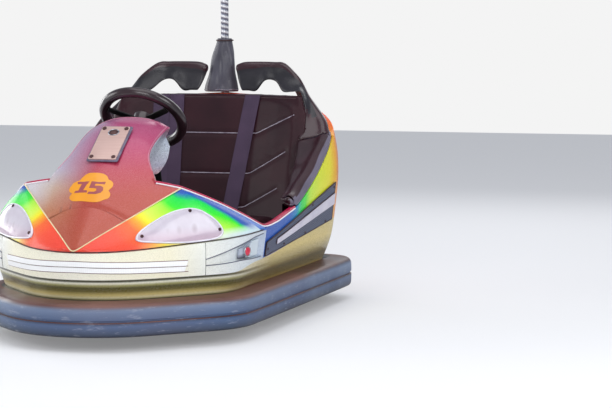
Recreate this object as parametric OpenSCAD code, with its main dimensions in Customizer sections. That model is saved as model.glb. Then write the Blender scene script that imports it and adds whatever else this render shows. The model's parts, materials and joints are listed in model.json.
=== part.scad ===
// Fairground bumper car, two seats side by side, with a current pole.
// Origin: floor level under the middle of the car. Front is -Y, the driver's left is +X.

/* [Overall] */
// Length over the rubber bumper
car_l = 1950; // [1850:10:2050]
// Width over the rubber bumper
car_w = 1150; // [1100:10:1200]
// Height of the current pole's contact above the floor
pole_top = 2850; // [2400:10:3200]

/* [Bumper] */
// Underside of the rubber
rubber_z = 55; // [45:1:70]
// Height of the rubber
rubber_h = 130; // [110:1:140]
// Depth of the rubber in plan
rubber_d = 92; // [85:1:95]
// Radius of the bumper's nose in plan
nose_r = 420; // [380:5:450]
// Radius of the bumper's front corners in plan
front_corner_r = 300; // [260:5:320]
// Radius of the bumper's rear corners in plan
rear_corner_r = 160; // [155:5:190]
// Radius of the bumper's long rear curve in plan
rear_r = 1600; // [1400:10:1900]
// Width of the steel channel that carries the rubber
channel_d = 40; // [30:1:45]

/* [Chassis] */
// Underside of the chassis plate
plate_z = 96; // [85:1:110]
// Thickness of the chassis plate
plate_t = 8; // [5:1:10]
// Place of the drive unit's vertical axis, measured forward from the middle
drive_y = 520; // [500:5:540]
// Radius of the turntable that carries the drive unit
turntable_r = 160; // [152:1:170]
// Diameter of the drive wheel
drive_wheel_d = 260; // [230:5:270]
// Width of the drive wheel
drive_wheel_w = 62; // [50:1:75]
// Diameter of the rear wheels
rear_wheel_d = 200; // [180:5:220]
// Width of the rear wheels
rear_wheel_w = 52; // [40:1:60]
// Half of the rear track
rear_track = 330; // [300:5:360]
// Place of the rear axle behind the middle
rear_axle_y = 500; // [450:5:560]
// Diameter of the rear axle
axle_d = 24; // [20:1:30]

/* [Body] */
// Thickness of the moulded body shell
shell_t = 6; // [4:0.5:8]
// Half of the body's width at its reference line
body_hw = 545; // [530:1:550]
// Body's nose, measured forward from the middle
body_front = 880; // [870:1:890]
// Body's tail, measured back from the middle
body_rear = 890; // [870:1:900]
// Height of the belt line at the nose
belt_z = 362; // [350:1:370]
// Rise of the belt line from the nose to the door
belt_rise = 42; // [20:1:60]

/* [Cockpit] */
// Top of the footwell floor
floor_z = 122; // [115:1:140]
// Top of the seat's plinth
plinth_z = 290; // [270:5:300]
// Half of the seat's width
seat_hw = 420; // [380:5:430]
// Top of the seat cushion
seat_z = 395; // [380:5:410]
// Rake of the backrest: millimetres back for each millimetre up
back_rake = 0.35; // [0.25:0.01:0.4]
// Top of the backrest
back_z = 893; // [860:1:905]
// Thickness of the backrest
back_t = 48; // [40:1:60]

/* [Steering] */
// Radius of the steering wheel to the middle of its rim
wheel_r = 160; // [150:1:175]
// Thickness of the steering wheel's rim
rim_d = 42; // [30:1:48]
// Height of the steering wheel's centre
wheel_z = 830; // [810:1:850]
// Place of the steering wheel's centre, measured forward from the middle
wheel_y = 175; // [165:1:190]
// Lean of the steering column from upright, in degrees
column_a = 43; // [38:1:46]
// Diameter of the steering column
column_d = 36; // [30:1:40]

/* [Pole] */
// Place of the pole behind the middle
pole_y = 770; // [760:1:780]
// Diameter of the pole
pole_d = 34; // [30:1:38]

/* [Hidden] */
$fn = 64;
gap = 0.3;
half_l = car_l / 2;
half_w = car_w / 2;
rubber_top = rubber_z + rubber_h;
body_z = rubber_top + gap;

// Mixes and steps
function mix(a, b, t) = a + (b - a) * t;
function ease(t) = let(u = max(0, min(1, t))) u * u * (3 - 2 * u);

// A plan outline of tangent arcs and lines, as a vector of its driving sizes:
// half width, nose, tail, nose radius, front corner radius, rear corner radius, rear radius
bumper_plan = [half_w, half_l, half_l, nose_r, front_corner_r, rear_corner_r, rear_r];
body_plan = [body_hw, body_front, body_rear, nose_r - 60, front_corner_r - 40, rear_corner_r + 80, rear_r];
function nose_c(p) = [0, p[3] - p[1]];
function flank_k(p) = (p[1] - p[3]) * sin(45) + p[3];
function front_c(p) = [p[0] - p[4], p[0] - p[4] - (flank_k(p) - p[4]) / sin(45)];
function tail_c(p) = [0, p[2] - p[6]];
function rear_c(p) = let(x = p[0] - p[5]) [x, tail_c(p)[1] + sqrt(pow(p[6] - p[5], 2) - x * x)];
function rear_a(p) = let(v = rear_c(p) - tail_c(p)) atan2(v[1], v[0]);

// A point of the right-hand outline: t runs 0 to 6 from the nose to the tail, one unit a piece
function rail(p, t, d) =
    t <= 1 ? nose_c(p) + (p[3] - d) * [sin(45 * t), -cos(45 * t)] :
    t <= 2 ? mix(nose_c(p) + (p[3] - d) * [sin(45), -cos(45)],
                 front_c(p) + (p[4] - d) * [sin(45), -cos(45)], t - 1) :
    t <= 3 ? front_c(p) + (p[4] - d) * [cos(45 * (t - 3)), sin(45 * (t - 3))] :
    t <= 4 ? [p[0] - d, mix(front_c(p)[1], rear_c(p)[1], t - 3)] :
    t <= 5 ? let(a = rear_a(p) * (t - 4)) rear_c(p) + (p[5] - d) * [cos(a), sin(a)] :
    let(a = mix(rear_a(p), 90, t - 5)) tail_c(p) + (p[6] - d) * [cos(a), sin(a)];

// Where a place y on the straight side lies along the outline
function t_at(y) = 3 + (y - front_c(body_plan)[1]) / (rear_c(body_plan)[1] - front_c(body_plan)[1]);
function y_at(t) = rail(body_plan, t, 0)[1];

// How far the body surface lies inside its reference outline: height, inset
inset_front = [[185, 22], [230, 12], [256, 4], [300, 0], [360, 0], [420, 10]];
inset_side = [[185, 60], [230, 38], [300, 15], [360, 6], [420, -2], [543, -16], [650, -14], [740, 2],
              [800, 25], [900, 85]];
inset_rear = [[185, 40], [230, 20], [300, 5], [420, 0], [540, 4], [650, 14], [740, 26], [900, 46]];
function inset(t, z) = mix(mix(lookup(z, inset_front), lookup(z, inset_side), ease((t - 1.6) / 1.3)),
                           lookup(z, inset_rear), ease((t - 4.1) / 1.1));
// A point of the body surface, moved inwards by e
function skin(t, z, e = 0) = let(q = rail(body_plan, t, inset(t, z) + e)) [q[0], q[1], z];

// Heights along the body, by place y: belt, top of the belly and top of the painted side
function belt(t) = belt_z + belt_rise * ease(t / 3.2);
belly_top_table = [[0, 262], [2.5, 262], [3, 286], [3.2, 293], [4, 364], [6, 380]];
side_top_table = [[-250, 412], [-100, 424], [130, 462], [350, 566], [500, 652], [620, 722]];
rear_top_table = [[4, 721.5], [4.5, 800], [5, 855], [6, 886]];
function belly_top(t) = lookup(t, belly_top_table);
function side_top(t) = lookup(y_at(t), side_top_table);
door_t = t_at(-252);

// A closed shell between two grids of points with the same rows and columns.
// With ring set, the last row joins the first.
module shell(outer, inner, ring = false) {
    n = len(outer);
    m = len(outer[0]);
    k = n * m;
    last = ring ? n - 1 : n - 2;
    function at(i, j) = (i % n) * m + j;
    points = concat([for (r = outer) each r], [for (r = inner) each r]);
    faces = concat(
        [for (i = [0:last]) for (j = [0:m - 2]) each [
            [at(i, j), at(i, j + 1), at(i + 1, j + 1)],
            [at(i, j), at(i + 1, j + 1), at(i + 1, j)],
            [k + at(i, j), k + at(i + 1, j + 1), k + at(i, j + 1)],
            [k + at(i, j), k + at(i + 1, j), k + at(i + 1, j + 1)]]],
        [for (i = [0:last]) each [
            [at(i, 0), at(i + 1, 0), k + at(i, 0)],
            [at(i + 1, 0), k + at(i + 1, 0), k + at(i, 0)],
            [at(i, m - 1), k + at(i, m - 1), at(i + 1, m - 1)],
            [k + at(i, m - 1), k + at(i + 1, m - 1), at(i + 1, m - 1)]]],
        ring ? [] : [for (j = [0:m - 2]) each [
            [at(0, j), k + at(0, j), at(0, j + 1)],
            [k + at(0, j), k + at(0, j + 1), at(0, j + 1)],
            [at(n - 1, j), at(n - 1, j + 1), k + at(n - 1, j)],
            [at(n - 1, j + 1), k + at(n - 1, j + 1), k + at(n - 1, j)]]]
    );
    polyhedron(points, faces);
}

function unit(v) = v / norm(v);

module both_sides() {
    children();
    mirror([1, 0, 0]) children();
}

// Sweeps a profile (x outwards from the outline, y up) once round a plan outline
round_t = concat([for (t = [0:0.2:1]) t], [for (t = [2:0.25:3]) t], [for (t = [4:0.125:5]) t], [5.33, 5.67, 6]);
module round_plan(p, profile) {
    half = [for (t = round_t) [for (q = profile) let(r = rail(p, t, -q[0])) [r[0], r[1], q[1]]]];
    rows = concat(half, [for (i = [len(half) - 2:-1:1]) flipped(half[i])]);
    n = len(rows);
    m = len(profile);
    function at(i, j) = (i % n) * m + j % m;
    polyhedron([for (r = rows) each r], [for (i = [0:n - 1]) for (j = [0:m - 1]) each [
        [at(i, j), at(i + 1, j), at(i + 1, j + 1)], [at(i, j), at(i + 1, j + 1), at(i, j + 1)]]]);
}

// The same outline filled, moved inwards by d
module plan_fill(p, d) {
    side = [for (t = [1:5]) rail(p, t, d)];
    polygon(concat(side, [for (i = [4:-1:0]) [-side[i][0], side[i][1]]]));
    translate(nose_c(p)) circle(p[3] - d);
    for (s = [-1, 1]) {
        translate([s * front_c(p)[0], front_c(p)[1]]) circle(p[4] - d);
        translate([s * rear_c(p)[0], rear_c(p)[1]]) circle(p[5] - d);
    }
    intersection() {
        translate(tail_c(p)) circle(p[6] - d, $fn = 256);
        translate([-side[4][0], side[4][1] - 1]) square([2 * side[4][0], 200]);
    }
}

// Bumper: a hollow-looking rubber tyre, grooved round its side, in a steel channel
groove_z = rubber_z + 58;
function arc(c, r, a, b, n) = [for (i = [0:n]) c + r * [cos(mix(a, b, i / n)), sin(mix(a, b, i / n))]];
rubber_profile = concat(
    [[-rubber_d, rubber_z + 10], [-rubber_d + 16, rubber_z]],
    arc([-22, rubber_z + 22], 22, -90, 0, 3),
    [[0, groove_z - 3], [-5, groove_z], [-5, groove_z + 6], [0, groove_z + 9]],
    arc([-28, rubber_top - 32], 28, 0, 76, 4),
    [[-rubber_d, rubber_top]]
);
module bumper_rubber() {
    color([0.16, 0.16, 0.18]) round_plan(bumper_plan, rubber_profile);
}
channel_x = -rubber_d - gap;
channel_profile = [
    [channel_x, plate_z], [channel_x, rubber_top], [channel_x - channel_d, rubber_top],
    [channel_x - channel_d, rubber_top - 5], [channel_x - 5, rubber_top - 5],
    [channel_x - 5, plate_z + plate_t], [channel_x - channel_d, plate_z + plate_t],
    [channel_x - channel_d, plate_z]
];
module bumper_channel() {
    color([0.25, 0.25, 0.27]) round_plan(bumper_plan, channel_profile);
}

// Chassis: a plate with openings for the wheels, the drive unit's ring and bridge, and axle brackets
drive = [0, -drive_y];
bridge_z = 470;
bridge_hw = 205;
rear_hub_z = rear_wheel_d / 2;
bracket_t = 10;
bracket_x = rear_wheel_w / 2 + 22;
axle_half = rear_track + bracket_x + 12;
module chassis() {
    ring_h = 14;
    top = plate_z + plate_t;
    color([0.2, 0.2, 0.22]) {
        difference() {
            union() {
                translate([0, 0, plate_z]) linear_extrude(plate_t) difference() {
                    plan_fill(bumper_plan, rubber_d + channel_d + 3);
                    for (s = [-1, 1]) translate([s * rear_track, rear_axle_y])
                        square([rear_wheel_w + 24, rear_wheel_d + 24], center = true);
                    translate([0, rear_axle_y]) square([2 * axle_half + 8, axle_d + 8], center = true);
                }
                translate([drive[0], drive[1], top]) cylinder(r = turntable_r + 32, h = ring_h);
            }
            translate([drive[0], drive[1], plate_z - 1]) cylinder(r = turntable_r + 2, h = ring_h + plate_t + 2);
        }
        difference() {
            union() {
                for (s = [-1, 1]) translate([s * bridge_hw - 6, drive[1] - 40, top])
                    cube([12, 80, bridge_z - top]);
                translate([-bridge_hw - 6, drive[1] - 40, bridge_z - 12]) cube([2 * bridge_hw + 12, 80, 12]);
                translate([0, drive[1], bridge_z - 42]) cylinder(d = 70, h = 42);
            }
            translate([0, drive[1], bridge_z - 60]) cylinder(d = 40.1, h = 100);
        }
        for (s = [-1, 1]) for (e = [-1, 1]) difference() {
            translate([s * rear_track + e * bracket_x - bracket_t / 2, rear_axle_y - 30, rear_hub_z - 24])
                cube([bracket_t, 60, 48]);
            translate([s * rear_track + e * bracket_x - bracket_t, rear_axle_y, rear_hub_z])
                rotate([0, 90, 0]) cylinder(d = axle_d + 0.1, h = 2 * bracket_t);
        }
    }
}

// Drive unit: turntable, two cheeks and a spindle, which turn about the vertical axis
drive_hub_z = drive_wheel_d / 2;
cheek_x = drive_wheel_w / 2 + 8;
fork_z = drive_wheel_d + 16;
module drive_fork() {
    top = plate_z + plate_t;
    color([0.35, 0.36, 0.38]) translate([drive[0], drive[1], 0]) difference() {
        union() {
            translate([0, 0, top - 2]) cylinder(r = turntable_r, h = 14);
            for (s = [-1, 1]) {
                hull() {
                    translate([s * (cheek_x + 5) - 5, -60, fork_z]) cube([10, 120, 10]);
                    translate([s * (cheek_x + 5) - 5, 0, drive_hub_z]) rotate([0, 90, 0])
                        cylinder(d = 90, h = 10);
                }
            }
            translate([-cheek_x - 10, -60, fork_z]) cube([2 * cheek_x + 20, 120, 12]);
        }
        translate([-cheek_x, -drive_wheel_d / 2 - 12, 0]) cube([2 * cheek_x, drive_wheel_d + 24, fork_z]);
        translate([-100, 0, drive_hub_z]) rotate([0, 90, 0]) cylinder(d = axle_d + 0.1, h = 200);
    }
}
module drive_motor() {
    color([0.3, 0.2, 0.15]) translate([drive[0], drive[1], fork_z + 12]) {
        cylinder(d = 190, h = 100);
        cylinder(d = 120, h = 138);
        cylinder(d = 40, h = bridge_z - fork_z - 12);
    }
}
module drive_wheel() {
    color([0.1, 0.1, 0.1]) translate([drive[0], drive[1], drive_hub_z]) rotate([0, 90, 0]) {
        difference() {
            cylinder(d = drive_wheel_d, h = drive_wheel_w, center = true);
            for (s = [-1, 1]) translate([0, 0, s * drive_wheel_w / 2])
                difference() {
                    cylinder(d = drive_wheel_d - 60, h = 24, center = true);
                    cylinder(d = 70, h = 30, center = true);
                }
        }
        cylinder(d = 50, h = 2 * cheek_x - 1, center = true);
        cylinder(d = axle_d, h = 2 * cheek_x + 24, center = true);
    }
}
module rear_axle() {
    color([0.5, 0.5, 0.52]) translate([-axle_half, rear_axle_y, rear_hub_z]) rotate([0, 90, 0])
        cylinder(d = axle_d, h = 2 * axle_half);
}
module rear_wheel(s) {
    color([0.1, 0.1, 0.1]) translate([s * rear_track, rear_axle_y, rear_hub_z]) rotate([0, 90, 0]) difference() {
        union() {
            cylinder(d = rear_wheel_d, h = rear_wheel_w, center = true);
            cylinder(d = 56, h = rear_wheel_w + 18, center = true);
        }
        cylinder(d = axle_d + 0.1, h = 200, center = true);
        for (e = [-1, 1]) translate([0, 0, e * rear_wheel_w / 2]) difference() {
            cylinder(d = rear_wheel_d - 50, h = 20, center = true);
            cylinder(d = 56, h = 24, center = true);
        }
    }
}
module rear_wheel_left() { rear_wheel(1); }
module rear_wheel_right() { rear_wheel(-1); }

// Rows of a whole ring of the body: t from 0 to 6 on the right side and back on the left
ring_t = [0, 0.25, 0.5, 0.75, 1, 1.5, 2, 2.25, 2.5, 2.75, 3, door_t, 3.2, 3.6, 4, 4.2, 4.4, 4.6, 4.8, 5, 5.5, 6];
function flipped(row) = [for (q = row) [-q[0], q[1], q[2]]];
function sides(grid) = concat(grid, [for (i = [len(grid) - 2:-1:1]) flipped(grid[i])]);

// Belly: one gold moulding from the bumper up to the band, the side panels and the tail
function belly_rows(e) = [for (t = ring_t) let(top = belly_top(t))
    [for (k = [0:5]) let(z = mix(body_z, top, k / 5)) skin(t, z, e)]];
module belly_shell() {
    color([0.72, 0.62, 0.4]) shell(sides(belly_rows(0)), sides(belly_rows(shell_t)), true);
}

// Front band: pale gold band over the belly's nose, from side piece to side piece
band_t = [0, 0.25, 0.5, 0.75, 1, 1.5, 1.795];
function both(grid) = concat([for (i = [len(grid) - 1:-1:1]) flipped(grid[i])], grid);
function band_rows(e) = [for (t = band_t)
    [for (k = [0:4]) skin(t, mix(belly_top(t) + gap, belt(t), k / 4), e)]];
module front_band() {
    color([0.85, 0.78, 0.6]) shell(both(band_rows(-2)), both(band_rows(shell_t)));
}
// Light bars: bottom, top; they droop towards the ends, which are cut at a slant
slot_rows = [[292, 310], [313, 332]];
module front_light_bars() {
    function bar_rows(z, e) = [for (i = [0:6]) [for (k = [0, 1])
        let(h = z[k], t = i / 6 * (1.5 + 0.0012 * (h - 292)))
        skin(t, h - 6 * t, e)]];
    color([0.95, 0.95, 0.92]) for (z = slot_rows) shell(both(bar_rows(z, -7.2)), both(bar_rows(z, -2.7)));
}

// Corner piece: silver housing between the band and the door, with a wedge-shaped scoop for its lamp.
// Scoop: station, bottom, top, depth
scoop = [[1.8, 300, 322, 0], [2, 302, 338, 8], [2.25, 305, 354, 15], [2.5, 308, 367, 20], [2.75, 308, 379, 22],
         [3, 305, 390, 22], [3.09, 304, 392, 22], [door_t - 0.002, 303, 393, 0]];
function scoop_at(t, k) = lookup(t, [for (r = scoop) [r[0], r[k]]]);
function corner_rows(inner) = [for (r = scoop) let(
    t = r[0], d = r[3], lo = belly_top(t) + gap, skirt = inner ? shell_t : -3, floor = inner ? max(shell_t, d + 4) : d - 3)
    [skin(t, lo, skirt), skin(t, r[1] - 2, skirt), skin(t, r[1] + 3, floor), skin(t, r[2] - 3, floor),
     skin(t, r[2] + 2, skirt), skin(t, belt(t), skirt)]];
module corner() { shell(corner_rows(false), corner_rows(true)); }
module corner_left() { color([0.85, 0.85, 0.83]) corner(); }
module corner_right() { color([0.85, 0.85, 0.83]) mirror([1, 0, 0]) corner(); }

// Corner lamp: a housing laid in the scoop, with a round lamp and a flat reflector behind it
lamp_t = [2.5, 2.75, 3, 3.08];
lamp_y = -424;
lamp_z = 338;
lamp_d = 36;
module corner_lamp() {
    function rows(proud) = [for (t = lamp_t) let(lo = scoop_at(t, 1) + 5, hi = scoop_at(t, 2) - 18, d = scoop_at(t, 3))
        [for (k = [0, 1]) skin(t, mix(lo, hi, k), d - 3 - (proud ? 9 : 1))]];
    union() {
        shell(rows(true), rows(false));
        translate([519, lamp_y, lamp_z]) rotate([0, 90, -17]) cylinder(d = lamp_d, h = 13);
    }
}
module corner_lamp_left() { color([0.8, 0.1, 0.1]) corner_lamp(); }
module corner_lamp_right() { color([0.8, 0.1, 0.1]) mirror([1, 0, 0]) corner_lamp(); }

// A closed slab between two lists of points that share one list of faces
module slab(top, bottom, faces) {
    k = len(top);
    edges = [for (f = faces) for (i = [0:len(f) - 1]) [f[i], f[(i + 1) % len(f)]]];
    rim = [for (e = edges) if (len([for (g = edges) if (g[0] == e[1] && g[1] == e[0]) 1]) == 0) e];
    polyhedron(concat(top, bottom), concat(
        faces,
        [for (f = faces) [for (i = [len(f) - 1:-1:0]) f[i] + k]],
        [for (e = rim) each [[e[1], e[0], e[0] + k], [e[1], e[0] + k, e[1] + k]]]
    ));
}

// Bonnet: the spine rises from the nose to the pod, and a headlamp panel lies on each side.
// Spine rows: y, half width of the crease, height on the middle line, height at the crease
crease_c = [327, -599, 590];
door_v = [537, -254, 414];
spine = [[-880, 10, 370, 369], [-840, 55, 424, 404], [-790, 113, 486, 444], [-740, 171, 543, 483],
         [-690, 226, 585, 521], [-640, 280, 610, 559], [-599, 327, 622, 590]];
spine_n = len(spine) - 1;
function crease(v) = let(y = mix(spine[0][0], spine[spine_n][0], v))
    [lookup(y, [for (r = spine) [r[0], r[1]]]), y, lookup(y, [for (r = spine) [r[0], r[3]]])];
// Headlamp panel: inner edge runs up the crease and on down the rim, outer edge along the belt
function rim(v) = mix(crease_c, door_v, v) + [14, -22, 10] * sin(180 * v);
panel_t = [0.04, 0.35, 0.7, 1, 1.4, 1.8, 2.1, 2.35, 2.6, 2.8, 3, 3.09, door_t];
panel_n = len(panel_t) - 1;
function panel_pt(i, v) = let(
    a = i <= spine_n ? crease(i / spine_n) : rim((i - spine_n) / (panel_n - spine_n)),
    b = skin(panel_t[i], belt(panel_t[i]) + shell_t + gap))
    mix(a, b, v) + [0.5, -0.5, 0.7] * norm(a - b) * 0.3 * v * (1 - v);
bonnet_rows = [for (i = [0:spine_n]) let(r = spine[i]) concat(
    flipped([for (v = [4:-1:1]) panel_pt(i, v / 4)]),
    [for (k = [-4:4]) [r[1] * k / 4, r[0], mix(r[3], r[2], 1 - k * k / 16)]],
    [for (v = [1:4]) panel_pt(i, v / 4)])];
wing_rows = [for (i = [spine_n + 1:panel_n]) [for (v = [0:4]) panel_pt(i, v / 4)]];
function bonnet_id(i, c) = i * 17 + c;
function wing_id(i, v, s) = i == spine_n ? bonnet_id(i, s > 0 ? 12 + v : 4 - v) :
    bonnet_id(spine_n + 1, 0) + (s > 0 ? 0 : 5 * len(wing_rows)) + (i - spine_n - 1) * 5 + v;
bonnet_faces = concat(
    [for (i = [0:spine_n - 1]) for (c = [0:15]) each [
        [bonnet_id(i, c), bonnet_id(i + 1, c), bonnet_id(i + 1, c + 1)],
        [bonnet_id(i, c), bonnet_id(i + 1, c + 1), bonnet_id(i, c + 1)]]],
    [for (i = [spine_n:panel_n - 1]) for (v = [0:3]) each [
        [wing_id(i, v, 1), wing_id(i + 1, v, 1), wing_id(i + 1, v + 1, 1)],
        [wing_id(i, v, 1), wing_id(i + 1, v + 1, 1), wing_id(i, v + 1, 1)],
        [wing_id(i, v, -1), wing_id(i + 1, v + 1, -1), wing_id(i + 1, v, -1)],
        [wing_id(i, v, -1), wing_id(i, v + 1, -1), wing_id(i + 1, v + 1, -1)]]]
);
module bonnet() {
    top = concat([for (r = bonnet_rows) each r], [for (r = wing_rows) each r], [for (r = wing_rows) each flipped(r)]);
    color([0.75, 0.3, 0.25]) slab(top, [for (q = top) q - [0, 0, shell_t]], bonnet_faces);
}

// Headlamp lens: a clear cover laid on the panel. Outline: row, upper edge, lower edge
lens_outline = [[2.69, 0.62, 0.66], [3, 0.53, 0.83], [3.6, 0.41, 0.93], [4.4, 0.33, 0.97], [5.1, 0.33, 0.97],
                [5.7, 0.42, 0.97], [6.1, 0.6, 0.96], [6.42, 0.82, 0.93]];
function panel_at(i, v) = mix(panel_pt(floor(i), v), panel_pt(floor(i) + 1, v), i - floor(i));
module lens() {
    rows = [for (r = lens_outline) [for (k = [0:4]) panel_at(r[0], mix(r[1], r[2], k / 4))]];
    function lift(d) = [for (r = rows) [for (q = r) q + [0.3, -0.3, 0.9] * d]];
    shell(lift(6.5), lift(3));
}
module headlamp_lens_left() { color([0.9, 0.85, 0.85]) lens(); }
module headlamp_lens_right() { color([0.9, 0.85, 0.85]) mirror([1, 0, 0]) lens(); }

// Pod: wedge-shaped cowl over the steering column, with a scoop in each side.
// Rows: y, height on the middle line, height at the edge, half width, drop of the side, run of the side.
// The first rows stand on the bonnet's spine and thin out onto it.
function spine_z(x, y) = let(w = lookup(y, [for (r = spine) [r[0], r[1]]]), q = min(1, abs(x) / w))
    mix(lookup(y, [for (r = spine) [r[0], r[3]]]), lookup(y, [for (r = spine) [r[0], r[2]]]), 1 - q * q) + gap;
pod_table = [[-738, 545, 0, 154, 0, 0], [-690, 602, 0, 208, 0, 0], [-640, 652, 0, 230, 0, 0], [-599, 684, 0, 222, 0, 0],
             [-572, 704, 652, 200, 22, 30], [-545, 728, 684, 177, 50, 50], [-522, 746, 706, 165, 76, 66],
             [-490, 771, 728, 160, 100, 84], [-450, 798, 750, 159, 102, 96], [-390, 826, 775, 159, 98, 88],
             [-320, 840, 797, 158, 86, 36], [-278, 841, 800, 156, 74, 6]];
lap = 2.7;
feather = 0.8;
function pod_point(r, x, e) = let(u = abs(x) / (r[3] - e), floor = spine_z(x, r[0]) + lap)
    [x, r[0], r[4] > 0 ? mix(r[2], r[1], 1 - pow(u, 2.5)) - e :
        max(floor + (e > 0 ? 0 : feather), floor + feather - e + (r[1] - spine_z(0, r[0])) * pow(max(0, 1 - u * u), 1.3))];
function pod_side(r, w, e) = r[4] > 0 ? [[w - 4, r[0] + r[5], r[2] - r[4]],
        [w - 4 - 0.2 * r[4], r[0] + r[5] * 0.5, r[2] - r[4] / 2]] : [pod_point(r, w + 6, e), pod_point(r, w + 3, e)];
function pod_rows(e) = [for (r = pod_table) let(w = r[3] - e, q = pod_side(r, w, e)) concat(
    flipped(q), [for (k = [-4:4]) pod_point(r, w * k / 4, e)], [q[1], q[0]])];
module pod() {
    color([0.78, 0.3, 0.45]) shell(pod_rows(0), pod_rows(shell_t));
}

// Dash panel: closes the back of the pod down to the bulkhead; the column goes through it.
// Rows: height, half width, place y
dash_table = [[430, 146, -326], [560, 140, -316], [690, 116, -303], [834, 112, -290]];
module dash_panel() {
    function under_pod(x) = mix(841, 800, pow(abs(x) / 150, 2.5)) - shell_t - 1.7;
    function rows(e) = [for (i = [0:3]) let(r = dash_table[i]) [for (k = [-2:2]) let(x = r[1] * k / 2)
        [x, r[2] - e, i < 3 ? r[0] : under_pod(x)]]];
    color([0.12, 0.12, 0.13]) difference() {
        shell(rows(0), rows(shell_t));
        on_column() translate([0, 0, -420]) cylinder(d = column_d + 34, h = 400);
    }
}
module coin_plate() {
    color([0.8, 0.6, 0.5]) translate([0, -520.7, 748.7]) rotate([37.1, 0, 0]) difference() {
        translate([-56, -96, 0]) cube([112, 192, 8]);
        translate([0, 56, -1]) cylinder(d = 26, h = 10);
    }
}

// Painted side from the belly to the arm pad
side_t = [door_t + 0.001, 3.2, 3.3, 3.4, 3.5, 3.6, 3.7, 3.8, 3.9, 4];
function side_rows(e) = [for (t = side_t) let(lo = belly_top(t) + gap, hi = side_top(t))
    [for (k = [0:6]) skin(t, mix(lo, hi, k / 6), e)]];
module side_shell_left() { color([0.6, 0.8, 0.3]) shell(side_rows(0), side_rows(shell_t)); }
module side_shell_right() { color([0.6, 0.8, 0.3]) mirror([1, 0, 0]) shell(side_rows(0), side_rows(shell_t)); }
deck_side_z = 706;
deck_back_z = 884;
knee_t = 4 + 2 * (1 - 200 / (seat_hw + 4));
tail_t = [4, 4.2, 4.4, 4.6, 4.8, knee_t, 5.5, 6];
function deck_in(t) = let(x = mix(seat_hw + 4, 0, (t - 4) / 2), z = mix(deck_side_z, deck_back_z, ease((t - 4) / 0.9)))
    [x, back_front(x, z) + back_t + gap, z];
function tail_rows(e) = [for (t = tail_t) let(lo = belly_top(t) + gap, hi = lookup(t, rear_top_table)) concat(
    [for (k = [0:7]) skin(t, mix(lo, hi - e, k / 7), e)],
    [for (v = [0.25, 0.6, 1]) let(q = mix(skin(t, hi, 0), deck_in(t), v)) [q[0], q[1], q[2] + 8 * sin(180 * v) * min(1, 2 * t - 8) - e]])];
function tail_all(e) = let(g = tail_rows(e)) concat(g, [for (i = [len(g) - 2:-1:0]) flipped(g[i])]);
module rear_shell() {
    color([0.8, 0.5, 0.2]) difference() {
        translate([0, gap, 0]) shell(tail_all(0), tail_all(shell_t));
        translate([0, pole_y, 700]) cylinder(d = pole_d + 4, h = 300);
    }
}

// Grey ribbed panel on the side and the light strip on it
side_panel_table = [[-235, 298, 352], [0, 316, 396], [300, 340, 462], [596, 366, 524]];
function strip_rows(lo, hi, e, n, from = -235, to = 590) = [for (i = [0:6]) let(y = mix(from, to, i / 6), t = t_at(y),
    a = lookup(y, [for (r = side_panel_table) [r[0], r[1]]]), b = lookup(y, [for (r = side_panel_table) [r[0], r[2]]]))
    [for (k = [0:n]) skin(t, mix(a, b, mix(lo, hi, k / n)), e)]];
module side_panel_left() { color([0.4, 0.4, 0.44]) shell(strip_rows(0, 1, -6, 4), strip_rows(0, 1, -gap, 4)); }
module side_panel_right() {
    color([0.4, 0.4, 0.44]) mirror([1, 0, 0]) shell(strip_rows(0, 1, -6, 4), strip_rows(0, 1, -gap, 4));
}
module side_light() { shell(strip_rows(0.42, 0.72, -12, 2, -120, 584), strip_rows(0.42, 0.72, -7, 2, -120, 584)); }
module side_light_left() { color([0.85, 0.8, 0.9]) side_light(); }
module side_light_right() { color([0.85, 0.8, 0.9]) mirror([1, 0, 0]) side_light(); }

// Cockpit: footwell floor and seat plinth, side liners, bulkhead and pedal
bulkhead_y = drive_y - turntable_r - 40;
bulkhead_top = 440;
cockpit_hw = half_w - rubber_d - channel_d - 8;
module floor_pan() {
    base = plate_z + plate_t + gap;
    plinth_hw = seat_hw - 10;
    color([0.12, 0.12, 0.13]) {
        translate([-cockpit_hw + 8, -bulkhead_y + gap, base])
            cube([2 * cockpit_hw - 16, bulkhead_y + 70, floor_z - base]);
        difference() {
            translate([-plinth_hw, 70, base]) cube([2 * plinth_hw, 560, plinth_z - base]);
            translate([8 - plinth_hw, 78, base - 1])
                cube([2 * plinth_hw - 16, 544, plinth_z - base - 7]);
        }
    }
}
liner_y = [-242, -100, 130, 290];
module cockpit_liner() {
    function rows(e) = [for (y = liner_y) let(t = t_at(y), top = side_top(t) - 12, q = skin(t, top, shell_t + 2 + e))
        [[cockpit_hw - e, y, floor_z + 2], [cockpit_hw - e, y, rubber_top + 4], [cockpit_hw + 34 - e, y, 236],
         [cockpit_hw + 68 - e, y, 320], q]];
    color([0.14, 0.14, 0.15]) both_sides() shell(rows(0), rows(4));
}
module mesh_bulkhead() {
    bar_w = 9;
    pitch = 74;
    base = plate_z + plate_t + gap;
    w = cockpit_hw - 4;
    h = bulkhead_top - base;
    color([0.08, 0.08, 0.08]) translate([0, -bulkhead_y, base]) rotate([90, 0, 0]) linear_extrude(4) {
        difference() {
            translate([-w, 0]) square([2 * w, h]);
            translate([-w + 14, 14]) square([2 * w - 28, h - 28]);
        }
        intersection() {
            translate([-w + 1, 1]) square([2 * w - 2, h - 2]);
            for (k = [-8:8]) for (a = [-45, 45]) translate([k * pitch, h / 2]) rotate(a) square([bar_w, 2 * h], center = true);
        }
    }
}
module pedal() {
    color([0.3, 0.3, 0.3]) translate([-240, -225, floor_z + 2 * gap]) mirror([0, 1, 0]) rotate([60, 0, 0])
        cube([90, 100, 12]);
}

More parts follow.
